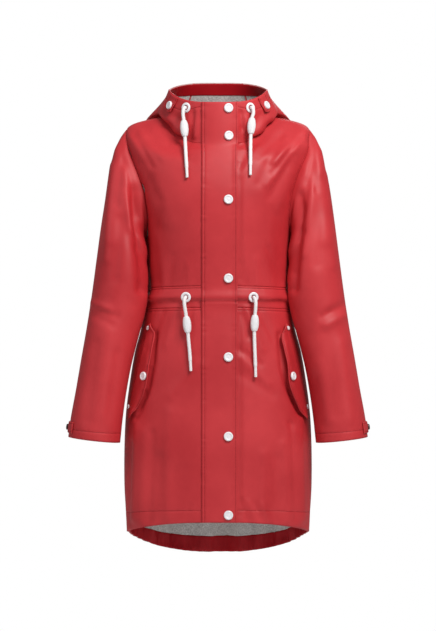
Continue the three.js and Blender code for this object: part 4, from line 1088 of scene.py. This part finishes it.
front_open = float(angle_at(FRONT_MEETING, 1.0))
hood_panel("hood_right", front_open, HOOD_GUSSET)
hood_panel("hood_left", -HOOD_GUSSET, front_open)
hood_panel("hood_middle", HOOD_GUSSET, 2 * math.pi - HOOD_GUSSET)


# The facing of the hood
# A strip of the coated cloth turned in at the hood's edge, so that its glossy side shows inside, in a darker
# red that is painted shade.
FACING_CLOTH = 0.0008
FACING_OUT = -0.003
FACING_ROWS = np.array([0.001, 0.014, 0.027])
facing_turns = np.linspace(0, 1, 97)


def up_after(angle, length):
    """How far up the hood's section a length reaches when it is measured down from the edge."""
    ups = np.linspace(1, 0.2, 161)
    line = hood_point(np.full(ups.shape, angle), ups)
    return np.interp(length, run_along(line), ups)


facing_ups = np.array([up_after(front_open + 2 * math.pi * turn, FACING_ROWS) for turn in facing_turns])


def hood_facing_surface(u, v, out):
    first, middle, last = (np.interp(u, facing_turns, column) for column in facing_ups.T)
    up = np.where(v < 0.5, first + (middle - first) * 2 * v, middle + (last - middle) * (2 * v - 1))
    return on_hood(front_open + 2 * math.pi * u, up, FACING_OUT - out)


# The coat's own red, darkened: painted shade for the inside of the hood and of the back hem.
facing_face_painted_shade = coated_face("facing_cloth_painted_shade", (152, 6, 18), (178, 12, 26), gloss=0.2)
cloth_piece("hood_facing", hood_facing_surface, [facing_face_painted_shade], seams="tb", held="folded",
            thickness=FACING_CLOTH, slot="facing_cloth")


# The straps on the hood
# A pointed strap at each side folds over the hood's edge and snaps down on its outside.
HOOD_TAB = {"width": 0.028, "start": 0.002, "length": 0.040, "point": 0.006, "out": 0.003,
            "angle": math.radians(64), "slant": 0.16, "snap": 0.6, "snap_in": 0.009, "curl": 0.003}


def hood_tab(node, side):
    radius = float(np.linalg.norm(hood_point(HOOD_TAB["angle"], 0.9)[:2]))
    half = HOOD_TAB["width"] / 2 / radius

    def surface(u, v, out):
        point = HOOD_TAB["point"] * np.abs(2 * u - 1) ** 2
        length = HOOD_TAB["start"] + (HOOD_TAB["length"] - point - HOOD_TAB["start"]) * v
        up = up_after(HOOD_TAB["angle"], length)
        turn = HOOD_TAB["angle"] + half * (2 * u - 1) + HOOD_TAB["slant"] * (v - HOOD_TAB["snap"])
        return on_hood(side * turn, up, HOOD_TAB["out"] + HOOD_TAB["curl"] * v ** 4 + out)

    cloth_piece(node, surface, [coat_face], cell=TAB_CELL, held="laid", seams="",
                stitches=(("l", 0.003), ("r", 0.003), ("b", 0.003)))


for side_name, side in SIDES.items():
    hood_tab(f"hood_tab_{side_name}", side)


# The facing of the back hem
# The back hem is turned in over an elastic, so its coated side shows inside above the edge, in the darker red
# of painted shade.
HEM_FACING_TOP = 21.36
HEM_FACING_OUT = -0.0032


def hem_facing_surface(u, v, out):
    angle = SIDE_SEAM + (2 * math.pi - 2 * SIDE_SEAM) * u
    return coat_point(angle, HEM_FACING_TOP + (HEM - HEM_FACING_TOP) * v, HEM_FACING_OUT - out)


cloth_piece("hem_facing_back", hem_facing_surface, [facing_face_painted_shade], name="hem_facing_cloth", seams="t",
            held="gathered", thickness=FACING_CLOTH, slot="facing_cloth")


# The pocket flaps
# Slanted flaps of doubled cloth with a shallow point, sewn and riveted at the ends of their root
# and closed by a snap. Their free edges face the middle and stand a little off the skirt.
FLAP_ROOT_TOP = (0.140, -0.421)
FLAP_ROOT_BOTTOM = (0.1825, -0.593)
FLAP_WIDTHS = np.array([[0.015], [0.031], [0.034], [0.036], [0.039], [0.042], [0.040], [0.032], [0.020]])
FLAP_TAIL = 0.020
FLAP_LIFT = 0.015               # how far the middle of its free edge stands off
FLAP_ENDS = (0.08, 0.92)
FLAP_OUT = 0.0028


def flap_point(side, u, v, out=0.0):
    u, v = np.broadcast_arrays(np.asarray(u, float), np.asarray(v, float))
    root_x, root_z = (top + (foot - top) * u for top, foot in zip(FLAP_ROOT_TOP, FLAP_ROOT_BOTTOM))
    place = place_at_height(side * root_x, root_z - FLAP_TAIL * u * v)
    root = angle_at(side * root_x, place)
    step = 0.05
    per_radian = np.linalg.norm(coat_point(root, place) - coat_point(root - step, place), axis=-1) / step
    width = between(FLAP_WIDTHS, u * (len(FLAP_WIDTHS) - 1))[..., 0]
    lift = FLAP_LIFT * v ** 2 * np.sin(math.pi * np.clip(u, *FLAP_ENDS)) ** 0.5
    return coat_point(root - side * width * v / per_radian, place, out + lift)


def pocket_flap(node, side):

    def surface(u, v, out):
        return flap_point(side, u, v, FLAP_OUT + out)

    cloth_piece(node, surface, [coat_face], cell=0.003, held="laid", seams="t",
                stitches=(("t", 0.003), ("b", 0.004)))


for side_name, side in SIDES.items():
    pocket_flap(f"pocket_flap_{side_name}", side)


# The snaps, rivets and eyelets
# Pressed metal caps with a white lacquer, a raised rim and a dished middle. The cuffs have small
# dark ones. The eyelets are rolled rings, through which the cords leave their channels.
HARD_GAP = 0.00045
# Columns: radius of the cap, height, radius of the dish, radius of the rim.
CAPS = {
    "snap": (0.0094, 0.0042, 0.0046, 0.0074),
    "small_snap": (0.0086, 0.0040, 0.0042, 0.0068),
    "cuff_snap": (0.0060, 0.0032, 0.0030, 0.0046),
    "rivet": (0.0046, 0.0026, 0.0016, 0.0032),
}
EYELET = {"outer": 0.0104, "hole": 0.0049, "height": 0.002}
HARD_SIDES = 40
LACQUER = {"Coat_Weight": 0.35, "Coat_Roughness": 0.12}
CUFF_SNAP_TURN = -0.01
PLACKET_SNAP_X = 0.0205
PLACKET_SNAPS_Z = (0.012, -0.043, -0.1725, -0.328, -0.486, -0.6435, -0.799)
HOOD_EYELETS = {"left": math.radians(-39), "right": math.radians(39.6)}
HOOD_EYELET_UP = 0.875
WAIST_EYELETS = {"left": -0.064, "right": 0.071}
WAIST_EYELET_PLACE = 12
FLAP_SNAP = (0.56, 0.78)
FLAP_RIVETS = {"top": (0.045, 0.3), "foot": (0.95, 0.2)}


def spun(name, profile, seat, material, node, closed=False):
    """Turns a profile of radius and height on its seat, which is a point and a normal."""
    made = bmesh.new()
    line = [made.verts.new((radius, 0, height)) for radius, height in profile]
    edges = [made.edges.new(pair) for pair in zip(line, line[1:])]
    if closed:
        edges.append(made.edges.new((line[-1], line[0])))
    bmesh.ops.spin(made, geom=line + edges, cent=(0, 0, 0), axis=(0, 0, 1), angle=2 * math.pi,
                   steps=HARD_SIDES, use_merge=True, use_duplicate=False)
    bmesh.ops.remove_doubles(made, verts=made.verts, dist=0.00001)
    bmesh.ops.recalc_face_normals(made, faces=made.faces)
    at, normal = seat
    turn = Vector((0, 0, 1)).rotation_difference(Vector(normal)).to_matrix().to_4x4()
    bmesh.ops.transform(made, matrix=Matrix.Translation(at) @ turn, verts=made.verts)
    piece = finish_piece(made, name, [material])
    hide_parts(node)


def cap_profile(radius, height, dish, rim):
    """A pressed cap: a rounded skirt, a rolled rim and a dish with a small centre boss."""
    skirt = [(radius, 0.0), (radius, height * 0.3)]
    turn = np.linspace(0, math.pi / 2, 6)[1:]
    shoulder = [(rim + (radius - rim) * math.cos(a), height * (0.3 + 0.7 * math.sin(a))) for a in turn]
    inner = [(dish + (rim - dish) * (1 - k), height * (1 - 0.22 * k * k)) for k in (0.35, 0.7, 1.0)]
    boss = [(dish * 0.8, height * 0.76), (dish * 0.55, height * 0.84), (0.0, height * 0.86)]
    return [(0.0, 0.0)] + skirt + shoulder + inner + boss


def seat_on(surface, u, v, out):
    """A point on a surface moved out, and the direction in which it faces there."""
    small = 0.01
    u, v = np.array([float(u)]), np.array([float(v)])
    across = surface(u + small, v, out) - surface(u - small, v, out)
    down = surface(u, v + small, out) - surface(u, v - small, out)
    at = surface(u, v, out)
    normal = unit(np.cross(across, down))
    if (normal * (surface(u, v, out + 0.001) - at)).sum() < 0:
        normal = -normal
    return at[0], normal[0]


white_lacquer = mottled("white_lacquer", 0.28, (240.0, 3.0), (232, 230, 235), (250, 249, 252), 0.00006,
                        **LACQUER)
dark_lacquer = mottled("dark_lacquer", 0.4, (240.0, 3.0), (48, 38, 36), (74, 60, 56), 0.00006, **LACQUER)


def cap(name, kind, seat, material=white_lacquer):
    spun(f"{name}_cap", cap_profile(*CAPS[kind]), seat, material, name)


for number, height in enumerate(PLACKET_SNAPS_Z, 1):
    snap_place = float(place_at_height(PLACKET_SNAP_X, height))
    snap_angle = float(angle_at(PLACKET_SNAP_X, snap_place))
    cap(f"placket_snap_{number}", "snap", seat_on(coat_point, snap_angle, snap_place, PLACKET_OUT + HARD_GAP))

cuff_middle = (CUFF_TAB["top"] + CUFF_TAB["bottom"]) / 2
tab_snap_up = up_after(HOOD_TAB["angle"], HOOD_TAB["length"] - HOOD_TAB["point"] - HOOD_TAB["snap_in"])
for side_name, side in SIDES.items():
    cuff_seat = seat_on(partial(sleeve_point, side), CUFF_SNAP_TURN, cuff_middle, TAB_OUT + HARD_GAP)
    cap(f"cuff_snap_{side_name}", "cuff_snap", cuff_seat, dark_lacquer)
    tab_seat = seat_on(on_hood, side * HOOD_TAB["angle"], tab_snap_up, HOOD_TAB["out"] + HARD_GAP)
    cap(f"hood_tab_snap_{side_name}", "small_snap", tab_seat)
    on_flap, flap_out = partial(flap_point, side), FLAP_OUT + HARD_GAP
    cap(f"flap_snap_{side_name}", "small_snap", seat_on(on_flap, *FLAP_SNAP, flap_out))
    for end, spot in FLAP_RIVETS.items():
        cap(f"flap_rivet_{end}_{side_name}", "rivet", seat_on(on_flap, *spot, flap_out))


def eyelet(name, seat):
    """A rolled ring: a round bead of metal that turns over into the hole."""
    outer, hole, height = EYELET["outer"], EYELET["hole"], EYELET["height"]
    turn = np.linspace(0, math.pi, 13)
    middle, half = (outer + hole) / 2, (outer - hole) / 2
    rolled = [(middle + half * math.cos(a), height * (0.25 + 0.75 * math.sin(a))) for a in turn]
    profile = [(outer, 0.0)] + rolled + [(hole, 0.0)]
    spun(f"eyelet_{name}_ring", profile, seat, white_lacquer, f"eyelet_{name}", closed=True)


for side_name in SIDES:
    eyelet(f"hood_{side_name}", seat_on(on_hood, HOOD_EYELETS[side_name], HOOD_EYELET_UP, HARD_GAP))
    band_angle = float(angle_at(WAIST_EYELETS[side_name], float(WAIST_EYELET_PLACE)))
    eyelet(f"waist_{side_name}", seat_on(coat_point, band_angle, WAIST_EYELET_PLACE, HARD_GAP))
